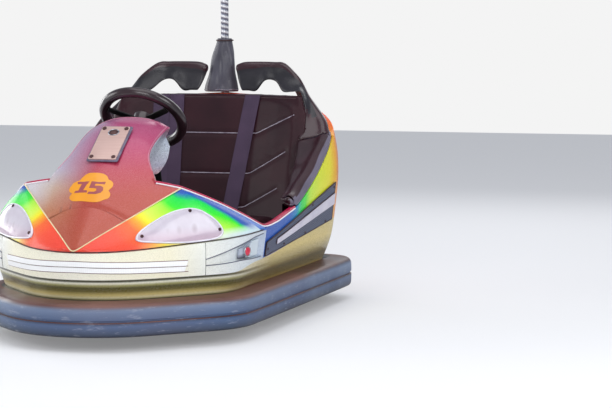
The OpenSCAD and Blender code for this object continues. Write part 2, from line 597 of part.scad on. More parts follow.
// Seat
module seat_cushion() {
    xs = [-seat_hw, -seat_hw + 12, -seat_hw + 45, -200, 0, 200, seat_hw - 45, seat_hw - 12, seat_hw];
    drops = [45, 14, 0, 0, 0, 0, 0, 14, 45];
    vs = [0, 0.04, 0.14, 0.5, 0.86, 0.96, 1];
    falls = [45, 14, 0, 4, 8, 24, 50];
    function seat_y(x, v) = mix(76, back_front(x, plinth_z) - (abs(x) > 400 ? 14 : 6), v);
    top = [for (i = [0:6]) [for (k = [0:8]) [xs[k], seat_y(xs[k], vs[i]), seat_z - max(drops[k], falls[i])]]];
    base = [for (i = [0:6]) [for (k = [0:8]) [xs[k], seat_y(xs[k], vs[i]), plinth_z + gap]]];
    color([0.13, 0.09, 0.1]) shell(base, top);
}
// Backrest: a flat middle, side panels turned forward, and bolsters that sweep round under the pads.
// Columns of its right half: foot x, foot y, top x, top y, top z, thickness across x, thickness along y
function back_front(x, z) = 548 + (z - 575) * back_rake - 0.43 * max(0, abs(x) - 200);
function back_col(x) = [x, back_front(x, plinth_z), x, back_front(x, back_z), back_z, x > 200 ? 12 : 0, x > 200 ? 42 : back_t];
back_cols = [back_col(0), back_col(100), back_col(200), back_col(310), [392, 366, 404, 580, back_z - 1, 10, 30],
             [434, 346, 440, 566, 812, 8, 12], [444, 290, 434, 508, 702, 8, 4], [454, 226, 442, 408, 606, 8, 0],
             [468, 150, 473, 240, 528, 8, 0], [478, 96, 485, 98, 470, 8, 0]];
function back_point(c, v, e) = let(bow = sin(180 * v) * (c[0] > 400 ? 8 : 0))
    [mix(c[0], c[2], v) + bow + c[5] * e, mix(c[1], c[3], v) + c[6] * e, mix(plinth_z + gap, c[4], v)];
function back_rows(e) = let(right = [for (c = back_cols) [for (v = [0:5]) back_point(c, v / 5, e)]])
    both(right);
module backrest() { color([0.14, 0.09, 0.11]) shell(back_rows(0), back_rows(1)); }

// Padded rim: arm pad on the side shell, then the grab arch over the rear shoulder. Each has a roll
// and a web that runs from it to the seat. Arch: roll's x, y, z, its radius, web tip's x, y, z
pad_tips = [[96, 487, 96, 495], [240, 475, 236, 543], [330, 463, 305, 582], [420, 450, 380, 611],
            [500, 442, 440, 656], [560, 440, 492, 703]];
function pad_tip(y, k) = lookup(y, [for (r = pad_tips) [r[0], r[k]]]);
pad_rows = [for (y = [96, 104, 160, 240, 330, 420, 500, 560]) let(t = t_at(y), z = side_top(t), q = skin(t, z))
    [q[0] - 32, y, z + 28, y < 100 ? 22 : 27, pad_tip(y, 1), pad_tip(y, 2), pad_tip(y, 3)]];
arch_rows = [[502, 600, 762, 25, 455, 526, 738], [482, 622, 786, 26, 457, 560, 784], [444, 646, 827, 25, 454, 592, 834],
             [404, 663, 873, 24, 438, 602, 880], [372, 682, 920, 24, 400, 612, 906], [342, 702, 959, 24, 352, 632, 902],
             [294, 724, 1000, 24, 306, 652, 902], [250, 731, 1006, 22, 262, 690, 944], [200, 733, 1007, 22, 214, 692, 948],
             [150, 733, 1007, 22, 172, 696, 902], [108, 733, 1005, 22, 134, 700, 902], [78, 733, 996, 21, 104, 702, 902]];
rim_rows = concat(pad_rows, arch_rows);
pad_end = len(pad_rows);
// A loft of teardrop sections between two rows of the rim
module rim_loft(from, to) {
    function roll(i) = [for (k = [0:2]) rim_rows[i][k]];
    function tip(i) = [for (k = [4:6]) rim_rows[i][k]];
    m = 11;
    rings = [for (i = [from:to]) let(
        c = roll(i), r = rim_rows[i][3], d = unit(roll(min(i + 1, len(rim_rows) - 1)) - roll(max(i - 1, 0))),
        a = unit(tip(i) - c), b = unit(cross(d, a)), end = tip(i),
        slip = d * (i == from && from > 0 ? gap : 0))
        concat([for (k = [0:8]) let(w = mix(50, 310, k / 8)) c + slip + (a * cos(w) + b * sin(w)) * r],
               [end + slip - b * 4, end + slip + b * 4])];
    n = len(rings);
    polyhedron([for (r = rings) each r], concat(
        [for (i = [0:n - 2]) for (j = [0:m - 1]) let(p = i * m + j, q = i * m + (j + 1) % m)
            each [[p, p + m, q], [q, p + m, q + m]]],
        [[for (j = [0:m - 1]) j]],
        [[for (j = [m - 1:-1:0]) (n - 1) * m + j]]
    ));
}
module arm_pad() { rim_loft(0, pad_end - 1); }
module grab_arch() { rim_loft(pad_end - 1, len(rim_rows) - 1); }
module arm_pad_left() { color([0.2, 0.1, 0.1]) arm_pad(); }
module arm_pad_right() { color([0.2, 0.1, 0.1]) mirror([1, 0, 0]) arm_pad(); }
module grab_arch_left() { color([0.18, 0.1, 0.1]) grab_arch(); }
module grab_arch_right() { color([0.18, 0.1, 0.1]) mirror([1, 0, 0]) grab_arch(); }
// Belts: place x at the top and at the cushion, for each strap
belt_w = 58;
belt_rows = [[203, 101], [-158, -154], [-224, -217]];
module lap_belts() {
    function strap(b, e) = [for (i = [0:4]) let(z = mix(back_z - 6, 404, i / 4), x = mix(b[1], b[0], (z - 444) / 440))
        [for (s = [-1, 1]) let(u = x + s * belt_w / 2) [u, back_front(u, z) - e, z]]];
    color([0.3, 0.22, 0.32]) for (b = belt_rows) shell(strap(b, 3.6), strap(b, 0.8));
}

// Pole with its boot and the contact at the ceiling net
deck_z = 893;
module pole_boot() {
    color([0.2, 0.2, 0.21]) difference() {
        hull() {
            translate([-6, pole_y, deck_z + gap]) scale([1.2, 0.85, 1]) cylinder(r = 56, h = 14, $fn = 32);
            translate([0, pole_y, 1120]) cylinder(r = 34, h = 10, $fn = 32);
        }
        translate([0, pole_y, deck_z - 10]) cylinder(d = pole_d + 2 * gap, h = 300);
    }
}
module pole() {
    color([0.8, 0.8, 0.82]) translate([0, pole_y, plate_z + plate_t + gap]) 
        cylinder(d = pole_d, h = pole_top - 90 - plate_z - plate_t - gap);
}
module contact_head() {
    color([0.6, 0.5, 0.35]) translate([0, pole_y, pole_top - 90 + gap]) {
        cylinder(d = 46, h = 60);
        translate([-20, -70, 50]) cube([40, 140, 40 - gap]);
    }
}

// Steering
wheel_c = [0, -wheel_y, wheel_z];
module on_column() { translate(wheel_c) rotate([-column_a, 0, 0]) children(); }
module steering_column() {
    color([0.15, 0.15, 0.16]) difference() {
        union() {
            on_column() translate([0, 0, -420]) cylinder(d = column_d + 20, h = 360);
            translate([-45, -drive_y - 20, bridge_z]) cube([90, 110, 76]);
        }
        on_column() translate([0, 0, -330]) cylinder(d = column_d + 0.1, h = 300);
    }
}
module steering_wheel() {
    color([0.08, 0.07, 0.07]) on_column() {
        rotate_extrude() translate([wheel_r, 0]) circle(d = rim_d);
        translate([0, 0, -40]) cylinder(d = 80, h = 45);
        for (a = [90, 210, 330]) rotate([0, 0, a]) translate([20, -14, -22]) cube([wheel_r - 22, 28, 14]);
        translate([0, 0, -325]) cylinder(d = column_d, h = 300);
    }
}

bumper_rubber();
bumper_channel();
chassis();
drive_fork();
drive_motor();
drive_wheel();
rear_axle();
rear_wheel_left();
rear_wheel_right();
belly_shell();
front_band();
front_light_bars();
corner_left();
corner_right();
corner_lamp_left();
corner_lamp_right();
bonnet();
headlamp_lens_left();
headlamp_lens_right();
pod();
coin_plate();
side_shell_left();
side_shell_right();
rear_shell();
side_panel_left();
side_panel_right();
side_light_left();
side_light_right();
floor_pan();
cockpit_liner();
mesh_bulkhead();
dash_panel();
pedal();
seat_cushion();
backrest();
arm_pad_left();
arm_pad_right();
grab_arch_left();
grab_arch_right();
lap_belts();
pole_boot();
pole();
contact_head();
steering_column();
steering_wheel();
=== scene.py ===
import bpy
import json
import math
from mathutils import Matrix, Vector, geometry
from mathutils.bvhtree import BVHTree

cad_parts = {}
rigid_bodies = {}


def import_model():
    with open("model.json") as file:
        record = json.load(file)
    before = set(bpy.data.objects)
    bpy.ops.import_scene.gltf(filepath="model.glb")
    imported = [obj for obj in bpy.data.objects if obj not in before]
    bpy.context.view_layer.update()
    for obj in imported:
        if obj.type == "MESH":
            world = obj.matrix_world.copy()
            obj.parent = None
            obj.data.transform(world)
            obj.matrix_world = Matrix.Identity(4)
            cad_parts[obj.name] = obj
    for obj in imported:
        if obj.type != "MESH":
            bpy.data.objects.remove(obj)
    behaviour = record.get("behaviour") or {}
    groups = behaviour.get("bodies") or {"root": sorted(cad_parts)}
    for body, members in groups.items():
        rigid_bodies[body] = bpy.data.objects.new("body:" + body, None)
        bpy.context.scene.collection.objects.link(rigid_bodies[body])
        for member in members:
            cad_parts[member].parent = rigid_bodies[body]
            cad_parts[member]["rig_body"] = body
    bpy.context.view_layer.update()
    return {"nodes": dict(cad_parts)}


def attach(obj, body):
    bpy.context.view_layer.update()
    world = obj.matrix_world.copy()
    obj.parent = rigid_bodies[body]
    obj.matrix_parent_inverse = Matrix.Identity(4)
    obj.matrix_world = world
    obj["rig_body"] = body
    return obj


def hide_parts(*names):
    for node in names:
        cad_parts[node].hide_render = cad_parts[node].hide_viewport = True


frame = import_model()

# Studio: the camera stands where the photograph was taken, at about head height to the front
# left of the car. One broad lamp hangs overhead, five softer ones stand around, the floor is pale.
camera_data = bpy.data.cameras.new("camera")
camera_data.sensor_width = 36.0
camera_data.lens = 137.7
camera = bpy.data.objects.new("camera", camera_data)
bpy.context.scene.collection.objects.link(camera)
azimuth, pitch, roll = math.radians(18.408), math.radians(5.354), math.radians(-0.267)
forward = Vector((-math.sin(azimuth) * math.cos(pitch), math.cos(azimuth) * math.cos(pitch), -math.sin(pitch)))
right = Vector((math.cos(azimuth), math.sin(azimuth), 0))
up = right.cross(forward)
level_right, level_up = right, up
right = level_right * math.cos(roll) + level_up * math.sin(roll)
up = level_up * math.cos(roll) - level_right * math.sin(roll)
camera.matrix_world = (Matrix.Translation((3.576, -8.861, 1.360))
                       @ Matrix((right, up, -forward)).transposed().to_4x4())
bpy.context.scene.camera = camera
bpy.context.scene.view_settings.view_transform = "Standard"


def tone(code):
    """A paint's colour from its six-figure code, made linear for the shader."""
    parts = [int(code[i:i + 2], 16) / 255 for i in (0, 2, 4)]
    return [c / 12.92 if c <= 0.04045 else ((c + 0.055) / 1.055) ** 2.4 for c in parts] + [1]


def put(tree, kind, inputs=None, **settings):
    """A node of a shader tree, with its settings, and its sockets set or linked."""
    node = tree.nodes.new("ShaderNode" + kind)
    for name, value in settings.items():
        setattr(node, name, value)
    for socket, value in (inputs or {}).items():
        if isinstance(value, bpy.types.NodeSocket):
            tree.links.new(value, node.inputs[socket])
        else:
            node.inputs[socket].default_value = value
    return node


def ramp(factor, stops):
    """The colour of a ramp whose stops are (place, colour code)."""
    node = put(factor.id_data, "ValToRGB", {0: factor})
    while len(node.color_ramp.elements) < len(stops):
        node.color_ramp.elements.new(1)
    for element, (place, code) in zip(node.color_ramp.elements, sorted(stops)):
        element.position = place
        element.color = tone(code)
    return node.outputs[0]


def blend_colours(factor, a, b):
    """Two colours mixed by a mask."""
    return put(factor.id_data, "Mix", {0: factor, 6: a, 7: b}, data_type="RGBA").outputs[2]


def span(value, low, high, to_low=0, to_high=1):
    """A value mapped from one span to another, held at the ends."""
    inputs = {0: value, 1: low, 2: high, 3: to_low, 4: to_high}
    return put(value.id_data, "MapRange", inputs, clamp=True).outputs[0]


def sums(operation, a, b=0.0):
    """One step of arithmetic on two values."""
    return put(a.id_data, "Math", {0: a, 1: b}, operation=operation).outputs[0]


def places(tree):
    """The object coordinates and their three parts."""
    coords = put(tree, "TexCoord").outputs["Object"]
    parts = put(tree, "SeparateXYZ", {0: coords})
    return coords, parts.outputs["X"], parts.outputs["Y"], parts.outputs["Z"]


def material(name, colour, roughness=0.5, metallic=0.0, coat=0.0):
    """A material with its constants on the shader. Its tree and shader are returned with it."""
    made = bpy.data.materials.new(name)
    made.use_nodes = True
    shader = made.node_tree.nodes["Principled BSDF"]
    for socket, value in (("Base Color", tone(colour)), ("Roughness", roughness), ("Metallic", metallic),
                          ("Coat Weight", coat), ("Coat Roughness", 0.08)):
        shader.inputs[socket].default_value = value
    made.diffuse_color = tone(colour)
    return made, made.node_tree, shader


def feed(shader, socket, value):
    """Links a value to a socket of the shader."""
    shader.id_data.links.new(value, shader.inputs[socket])


world = bpy.data.worlds.new("studio")
bpy.context.scene.world = world
world.use_nodes = True
sky = world.node_tree
backing = sky.nodes["Background"]
path = put(sky, "LightPath")
seen = sums("MAXIMUM", path.outputs["Is Camera Ray"], path.outputs["Is Transmission Ray"])
sky.links.new(blend_colours(seen, tone("d2d8e2"), tone("f4f4f4")), backing.inputs["Color"])
sky.links.new(span(seen, 0, 1, 0.55, 1.0), backing.inputs["Strength"])
for label, energy, size, place in (("overhead", 78, 4.0, (0.5, -1.0, 4.6)), ("left", 60, 2.4, (-4.6, -1.4, 1.7)),
                                   ("right", 95, 2.8, (4.8, -2.2, 2.6)), ("left_rear", 55, 2.2, (-4.4, 2.0, 1.3)),
                                   ("front", 95, 3.0, (0.6, -6.0, 2.4)), ("behind", 40, 3.0, (0.5, 4.6, 3.0))):
    lamp = bpy.data.objects.new(label, bpy.data.lights.new(label, "AREA"))
    lamp.data.energy = energy
    lamp.data.size = size
    lamp.location = place
    lamp.rotation_euler = (Vector((0, 0, 0.4)) - Vector(place)).to_track_quat("-Z", "Y").to_euler()
    bpy.context.scene.collection.objects.link(lamp)
bpy.ops.mesh.primitive_plane_add(size=24, location=(0, 0, 0))
floor = bpy.context.object
floor.name = "floor"
floor_paint, tree, shader = material("floor_paint", "dcdcde", 0.8)
shader.inputs["Emission Color"].default_value = tone("f0f0f2")
in_view = put(tree, "LightPath").outputs["Is Camera Ray"]
feed(shader, "Emission Strength", span(in_view, 0, 1, 0, 0.25))
floor.data.materials.append(floor_paint)

# Rubber bumper: one thick moulded ring round the whole car. Its top is brown with dust and its sides are
# blue-grey, rubbed pale where the cars meet. Along the sides run level bands of painted highlight and
# painted shade: darker at the foot and in a groove, paler near the top edge.


def alone(piece):
    """Only this piece is selected and active."""
    bpy.ops.object.select_all(action="DESELECT")
    piece.select_set(True)
    bpy.context.view_layer.objects.active = piece


def placed(name, data):
    """A new piece in the scene, selected and active."""
    piece = bpy.data.objects.new(name, data)
    bpy.context.scene.collection.objects.link(piece)
    alone(piece)
    return piece


def cleaned(weld=0.0, outward=True):
    """Joins doubled points of the active piece and turns its faces outward."""
    bpy.ops.object.mode_set(mode="EDIT")
    bpy.ops.mesh.select_all(action="SELECT")
    if weld:
        bpy.ops.mesh.remove_doubles(threshold=weld)
    if outward:
        bpy.ops.mesh.normals_make_consistent(inside=False)
    bpy.ops.object.mode_set(mode="OBJECT")


def shaped(piece, kind, **settings):
    """Adds a modifier to the active piece and applies it."""
    change = piece.modifiers.new(kind, kind)
    for name, value in settings.items():
        setattr(change, name, value)
    bpy.ops.object.modifier_apply(modifier=kind)


def dress(piece, name, paint, body):
    """Names a finished piece, gives it its paint and lets it ride on its body."""
    piece.name = name
    piece.data.name = name
    piece.data.materials.clear()
    for one in (paint if isinstance(paint, list) else [paint]):
        piece.data.materials.append(one)
    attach(piece, body)
    return piece


def merged_copy(node):
    """A copy of a CAD node with its loose triangles joined."""
    piece = placed(node, frame["nodes"][node].data.copy())
    cleaned(0.00004, False)
    return piece


def from_node(node, paint, levels=1, sharp=32):
    """A smooth piece in place of a CAD node: its corners are merged, its broad faces rounded."""
    piece = merged_copy(node)
    bpy.ops.object.mode_set(mode="EDIT")
    bpy.ops.mesh.tris_convert_to_quads(face_threshold=math.radians(25), shape_threshold=math.radians(50))
    bpy.ops.mesh.select_mode(type="EDGE")
    bpy.ops.mesh.select_all(action="DESELECT")
    bpy.ops.mesh.edges_select_sharp(sharpness=math.radians(sharp))
    bpy.ops.object.mode_set(mode="OBJECT")
    if levels:
        creases = piece.data.attributes.new("crease_edge", "FLOAT", "EDGE")
        for edge in piece.data.edges:
            creases.data[edge.index].value = 1.0 if edge.select else 0.0
        shaped(piece, "SUBSURF", levels=levels, render_levels=levels)
    bpy.ops.object.shade_smooth_by_angle(angle=math.radians(sharp))
    dress(piece, node + "_finish", paint, frame["nodes"][node]["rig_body"])
    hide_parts(node)
    return piece


def group(name, inputs, outputs):
    """A new shader node group with named sockets, and the ends of its tree."""
    made = bpy.data.node_groups.new(name, "ShaderNodeTree")
    for label, kind, value in inputs:
        socket = made.interface.new_socket(label, in_out="INPUT", socket_type="NodeSocket" + kind)
        if value is not None:
            socket.default_value = value
    for label, kind in outputs:
        made.interface.new_socket(label, in_out="OUTPUT", socket_type="NodeSocket" + kind)
    return made, made.nodes.new("NodeGroupInput"), made.nodes.new("NodeGroupOutput")


# Scuffs: long thin rubs and soft blotches, as masks
scuffs, start, end = group("Scuffs", [("Vector", "Vector", None), ("Scale", "Float", 4.0)],
                           [("Rubs", "Float"), ("Blotches", "Float")])
stretch = put(scuffs, "VectorMath", {0: start.outputs[0], 1: (1, 1, 5)}, operation="MULTIPLY")
rubs = put(scuffs, "TexNoise", {"Vector": stretch.outputs[0], "Scale": start.outputs[1], "Detail": 8.0,
                                "Roughness": 0.7})
scuffs.links.new(span(rubs.outputs[0], 0.56, 0.72), end.inputs[0])
blotches = put(scuffs, "TexNoise", {"Vector": start.outputs[0], "Scale": start.outputs[1], "Detail": 4.0})
scuffs.links.new(span(blotches.outputs[0], 0.35, 0.7), end.inputs[1])


def use(tree, made, **inputs):
    """One use of a node group, with its named inputs."""
    return put(tree, "Group", inputs, node_tree=made)


def bumped(shader, height, distance, strength=0.5):
    """A bump on the shader's normal."""
    bump = put(shader.id_data, "Bump", {"Height": height, "Distance": distance, "Strength": strength})
    feed(shader, "Normal", bump.outputs[0])


def rough_bump(shader, coords, scale, distance, strength=0.5, detail=4.0):
    """A bump of noise."""
    noise = put(shader.id_data, "TexNoise", {"Vector": coords, "Scale": scale, "Detail": detail})
    bumped(shader, noise.outputs[0], distance, strength)


def blotched(name, colour, roughness, scale, first, second, share=None, mask="Blotches", bump=None, **finish):
    """A material that blotches or rubs take from one tone to another, all the way or by a share.
    A bump of noise is given as (scale, depth). What a finer finish links to is returned with it."""
    made, tree, shader = material(name, colour, roughness, **finish)
    coords = places(tree)[0]
    marks = use(tree, scuffs, Vector=coords, Scale=scale)
    amount = sums("MULTIPLY", marks.outputs[mask], share) if share else marks.outputs[mask]
    feed(shader, "Base Color", blend_colours(amount, tone(first), tone(second)))
    if bump:
        rough_bump(shader, coords, *bump)
    return made, tree, shader, coords, marks


rubber, tree, shader = material("bumper_rubber", "56596a", 0.62)
coords, _, _, z = places(tree)
marks = use(tree, scuffs, Vector=coords, Scale=3.0)
fine = use(tree, scuffs, Vector=coords, Scale=14.0)
# Painted highlight and shade on the sides: level bands, dark at the foot and in the groove, paler near the top edge
side = ramp(span(z, 0.055, 0.18), [(0, "141d2a"), (0.1, "33435a"), (0.36, "4a6288"), (0.46, "1c2840"),
                                   (0.5, "42597e"), (0.8, "6c7f9e"), (1, "5c5458")])
side = blend_colours(sums("MULTIPLY", marks.outputs["Blotches"], 0.22), side, tone("6f5f69"))
side = blend_colours(sums("MULTIPLY", fine.outputs["Rubs"], 0.5), side, tone("b3b6c4"))
dusty = blend_colours(marks.outputs["Blotches"], tone("4a2a28"), tone("7a544c"))
facing = put(tree, "TexCoord").outputs["Normal"]
top = put(tree, "SeparateXYZ", {0: facing}).outputs["Z"]
feed(shader, "Base Color", blend_colours(span(top, 0.35, 0.75), side, dusty))
feed(shader, "Roughness", span(marks.outputs["Blotches"], 0, 1, 0.3, 0.6))
rough_bump(shader, coords, 9.0, 0.004, 0.5, 5.0)
from_node("bumper_rubber", rubber, 1, 28)

# Running gear: a flat steel plate with its channel, a steered drive unit on a turntable, and two
# rear wheels on a fixed axle. All welded steel, black or grey, with solid rubber tyres.
black_steel, tree, shader, _, marks = blotched("black_steel", "1b1b1d", 0.45, 6.0, "18181a", "3b3634", 0.6,
                                               metallic=0.6)
feed(shader, "Roughness", span(marks.outputs["Rubs"], 0, 1, 0.4, 0.7))
grey_steel = blotched("grey_steel", "55585c", 0.42, 8.0, "4d5054", "8b8d90", mask="Rubs", metallic=0.7)[0]
motor_paint = blotched("motor_paint", "5b2a20", 0.55, 10.0, "572a20", "3a2a24", bump=(60.0, 0.001))[0]
tyre = blotched("tyre", "202022", 0.75, 12.0, "1c1c1e", "45413e", bump=(90.0, 0.0008))[0]
for node, paint in (("bumper_channel", black_steel), ("chassis", black_steel), ("drive_fork", grey_steel),
                    ("drive_motor", motor_paint), ("drive_wheel", tyre), ("rear_axle", grey_steel),
                    ("rear_wheel_left", tyre), ("rear_wheel_right", tyre)):
    from_node(node, paint, 0)

# Belly: one gold metal-flake moulding from the rubber up. Painted reflections lie on it in level bands
# of bright cream and dark olive at the nose; on the flank, painted shade darkens it to olive low down,
# where it turns in under the side panels, below a painted highlight.
flake, start, end = group("Metal flake", [("Colour", "Color", None), ("Vector", "Vector", None),
                                          ("Size", "Float", 700.0), ("Sparkle", "Float", 0.35)],
                          [("Colour", "Color"), ("Glint", "Float")])
cells = put(flake, "TexVoronoi", {"Vector": start.outputs[1], "Scale": start.outputs[2]})
shine = put(flake, "SeparateXYZ", {0: cells.outputs["Color"]}).outputs["X"]
light = blend_colours(sums("MULTIPLY", span(shine, 0.6, 1.0), start.outputs[3]),
                      start.outputs[0], (1, 1, 1, 1))
dark = sums("MULTIPLY", span(shine, 0.4, 0.0), start.outputs[3])
flake.links.new(blend_colours(dark, light, (0, 0, 0, 1)), end.inputs[0])
flake.links.new(shine, end.inputs[1])


def flaked(shader, colour, coords, sparkle, size=900.0):
    """Sends a colour through the metal flake to the shader, with a little orange peel."""
    tree = shader.id_data
    node = use(tree, flake, Colour=colour, Vector=coords, Size=size, Sparkle=sparkle)
    feed(shader, "Base Color", node.outputs["Colour"])
    feed(shader, "Roughness", span(node.outputs["Glint"], 0, 1, 0.24, 0.4))
    rough_bump(shader, coords, 160.0, 0.0006, 0.2, 1.0)


belly_paint, tree, shader = material("belly_paint", "bab073", 0.3, 0.2, 0.25)
coords, _, y, z = places(tree)
# Painted reflections: level bands of bright cream and dark olive across the nose
nose = ramp(span(z, 0.185, 0.3), [(0, "7a6f38"), (0.07, "e8dcae"), (0.16, "d2c076"), (0.28, "6d6428"),
                                  (0.4, "4f4c1e"), (0.48, "a8a468"), (0.56, "eeecd8"), (0.61, "45432a"),
                                  (0.66, "3a3820"), (0.7, "efe9cc"), (1, "f4efe0")])
# Painted shade and highlight on the flank: dark olive low down, bright gold higher up
flank = ramp(span(z, 0.185, 0.38), [(0, "d0b458"), (0.08, "8a7a34"), (0.22, "6a5f2a"), (0.4, "b8a24a"),
                                    (0.6, "e6cc6a"), (1, "e0c878")])
back = ramp(span(y, -0.56, -0.1), [(0, "000000"), (1, "ffffff")])
flaked(shader, blend_colours(back, nose, flank), coords, 0.12)
from_node("belly_shell", belly_paint, 1)

# Front band: a pale gold moulding over the nose with two white light bars let into it, each in a
# thin dark red rim that droops with it towards the ends.
band_paint, tree, shader = material("band_paint", "eee9da", 0.28, 0.1, 0.3)
coords, x, _, z = places(tree)
reach = sums("ABSOLUTE", x)
across = ramp(span(reach, 0.0, 0.46), [(0, "faf6e4"), (0.7, "f6f0d4"), (1, "ecf0ee")])
droop = sums("ADD", z, sums("MULTIPLY", reach, 0.0245))
first_rim, rim_gap, rim_end = 0.2903, 0.01065, 0.376
lines = sums("PINGPONG", sums("SUBTRACT", droop, first_rim), rim_gap)
rims = sums("MULTIPLY", span(lines, 0.0017, 0.0011), span(reach, rim_end, rim_end - 0.003))
height = sums("MULTIPLY", span(droop, 0.2885, 0.2888), span(droop, 0.3345, 0.3342))
rims = sums("MULTIPLY", rims, height)
flaked(shader, blend_colours(rims, across, tone("6e3a34")), coords, 0.08)
from_node("front_band", band_paint, 1)


def patterned(name, colour, roughness, coat, texture, scale, share, first, second, **settings):
    """A moulded plastic whose ribs or cuts show faintly in its colour."""
    made, tree, shader = material(name, colour, roughness, 0.0, coat)
    marks = put(tree, texture, {"Vector": places(tree)[0], "Scale": scale}, **settings)
    amount = sums("MULTIPLY", marks.outputs[1], share)
    feed(shader, "Base Color", blend_colours(amount, tone(first), tone(second)))
    return made


lamp_white = patterned("lamp_white", "f6f4f1", 0.25, 0.4, "TexWave", 40.0, 0.12, "ffffff", "dcdade")
from_node("front_light_bars", lamp_white, 0)

# Corner pieces: silver mouldings that carry a grey lamp housing in a wedge-shaped scoop, with a
# round red lamp in a chrome ring and a white reflector behind it.
silver_paint, tree, shader = material("silver_paint", "c2d0e6", 0.25, 0.2, 0.4)
coords, _, y, _ = places(tree)
# Painted reflection: the silver runs from warm white at the front to a bluer grey at the back
spray_and_reflection = ramp(span(y, -0.62, -0.25), [(0, "f0f0e6"), (0.4, "e8eef0"), (0.75, "e0eaf2"), (1, "c0cce0")])
flaked(shader, spray_and_reflection, coords, 0.1)
housing_grey, tree, shader = material("housing_grey", "5d6680", 0.4)
coords, _, _, z = places(tree)
low = span(z, 0.33, 0.312)
feed(shader, "Base Color", blend_colours(low, tone("b4bccc"), tone("4d4856")))
rough_bump(shader, coords, 240.0, 0.0005)
reflector_white = patterned("reflector_white", "d7e6f2", 0.2, 0.5, "TexChecker", 260.0, 0.25, "e0edf6", "9fb4ca")
red_lens = patterned("red_lens", "d21f42", 0.18, 0.6, "TexWave", 120.0, 0.4, "e0284a", "9a1030", bands_direction="Z")
chrome, tree, shader = material("chrome", "b9bec6", 0.18, 1.0)
marks = use(tree, scuffs, Vector=places(tree)[0], Scale=20.0)
feed(shader, "Roughness", span(marks.outputs["Blotches"], 0, 1, 0.12, 0.35))


def settle(piece, place, sharp=35):
    """Puts a modelled piece's place into its mesh, with its object left at the origin."""
    piece.data.transform(place)
    alone(piece)
    cleaned()
    bpy.ops.object.shade_smooth_by_angle(angle=math.radians(sharp))
    return piece


both = (("left", 1), ("right", -1))
lamp_spot, lamp_radius, lamp_face = Vector((0.519, -0.424, 0.338)), 0.0185, 0.0125
for side, s in both:
    from_node("corner_" + side, silver_paint, 1, 25)
    housing = from_node("corner_lamp_" + side, [housing_grey, reflector_white, red_lens], 0)
    for face in housing.data.polygons:
        if (face.center - lamp_spot).yz.length < lamp_radius:
            face.material_index = 2
        elif face.center.y > -0.392:
            face.material_index = 1
    lamp_place = (Matrix.Scale(s, 4, (1, 0, 0)) @ Matrix.Translation(lamp_spot)
                  @ Matrix.Rotation(math.radians(-17), 4, "Z") @ Matrix.Rotation(math.radians(90), 4, "Y"))
    bpy.ops.mesh.primitive_torus_add(major_radius=lamp_radius, minor_radius=0.0026, major_segments=48,
                                     minor_segments=12)
    ring = bpy.context.object
    ring.data.transform(Matrix.Translation((0, 0, lamp_face)))
    dress(settle(ring, lamp_place), "corner_lamp_ring_" + side, chrome, "car")
    bpy.ops.mesh.primitive_uv_sphere_add(radius=0.0168, segments=32, ring_count=16)
    dome = bpy.context.object
    for vertex in dome.data.vertices:
        vertex.co.z = lamp_face + max(-0.002, vertex.co.z * 0.34)
    dress(settle(dome, lamp_place), "corner_lamp_dome_" + side, red_lens, "car")

# Bonnet: the red metal-flake spine and, past the cream pinstripe, the headlamp panels, whose
# sprayed colours fan out from the cockpit's rim: blue, green, lime, yellow, orange and red.
rim_front = Vector((0.327, -0.599, 0.590))
rim_back = Vector((0.537, -0.254, 0.414))
fan, start, end = group("Colour fan", [], [("Distance", "Float"), ("Along", "Float"), ("Corner", "Float")])
_, x, y, z = places(fan)
mirrored = put(fan, "CombineXYZ", {0: sums("ABSOLUTE", x), 1: y, 2: z})
offset = put(fan, "VectorMath", {0: mirrored.outputs[0], 1: rim_front}, operation="SUBTRACT")
rim_run = rim_back - rim_front
dot = put(fan, "VectorMath", {0: offset.outputs[0], 1: rim_run / rim_run.length_squared}, operation="DOT_PRODUCT")
along = span(dot.outputs["Value"], 0, 1)
run = put(fan, "VectorMath", {0: tuple(rim_run)}, operation="SCALE")
fan.links.new(along, run.inputs["Scale"])
away = put(fan, "VectorMath", {0: offset.outputs[0], 1: run.outputs[0]}, operation="SUBTRACT")
far = put(fan, "VectorMath", {0: away.outputs[0]}, operation="LENGTH")
fan.links.new(sums("SUBTRACT", far.outputs["Value"], sums("MULTIPLY", along, 0.03)), end.inputs[0])
fan.links.new(along, end.inputs[1])
to_corner = put(fan, "VectorMath", {0: mirrored.outputs[0], 1: rim_back}, operation="DISTANCE")
fan.links.new(to_corner.outputs["Value"], end.inputs[2])
fan_paint, tree, shader = material("fan_paint", "1ce164", 0.22, 0.0, 0.15)
shader.inputs["Specular IOR Level"].default_value = 0.35
coords, x, y, z = places(tree)
spray = use(tree, fan)
wash = put(tree, "TexNoise", {"Vector": coords, "Scale": 10.0, "Detail": 3.0})
value = sums("ADD", spray.outputs["Distance"], span(wash.outputs[0], 0, 1, -0.012, 0.012))
rainbow = ramp(span(value, 0.0, 0.4), [(0, "0a3c9c"), (0.04, "0558b8"), (0.075, "00a08c"),
                                       (0.105, "00dc50"), (0.2, "34ea2a"), (0.27, "a8f43c"),
                                       (0.42, "dcf64c"), (0.49, "f8ea10"), (0.55, "fba81c"),
                                       (0.63, "fa6a30"), (0.8, "f85236"), (1, "f04834")])
white = span(spray.outputs["Corner"], 0.20, 0.11)
rainbow = blend_colours(white, rainbow, tone("cfe8f0"))
grey_reach = [(0, "343434"), (0.3, "6a6a6a"), (0.6, "7c7c7c"), (0.82, "707070"), (1, "363636")]
blue_reach = sums("MULTIPLY", ramp(spray.outputs["Along"], grey_reach), 0.42)
edge = sums("DIVIDE", sums("SUBTRACT", blue_reach, spray.outputs["Distance"]), 0.018)
rainbow = blend_colours(span(edge, 0, 1), rainbow, tone("0450b0"))
reach = sums("ABSOLUTE", x)
above = sums("SUBTRACT", sums("SUBTRACT", z, 0.351), sums("MULTIPLY", reach, 0.0919))
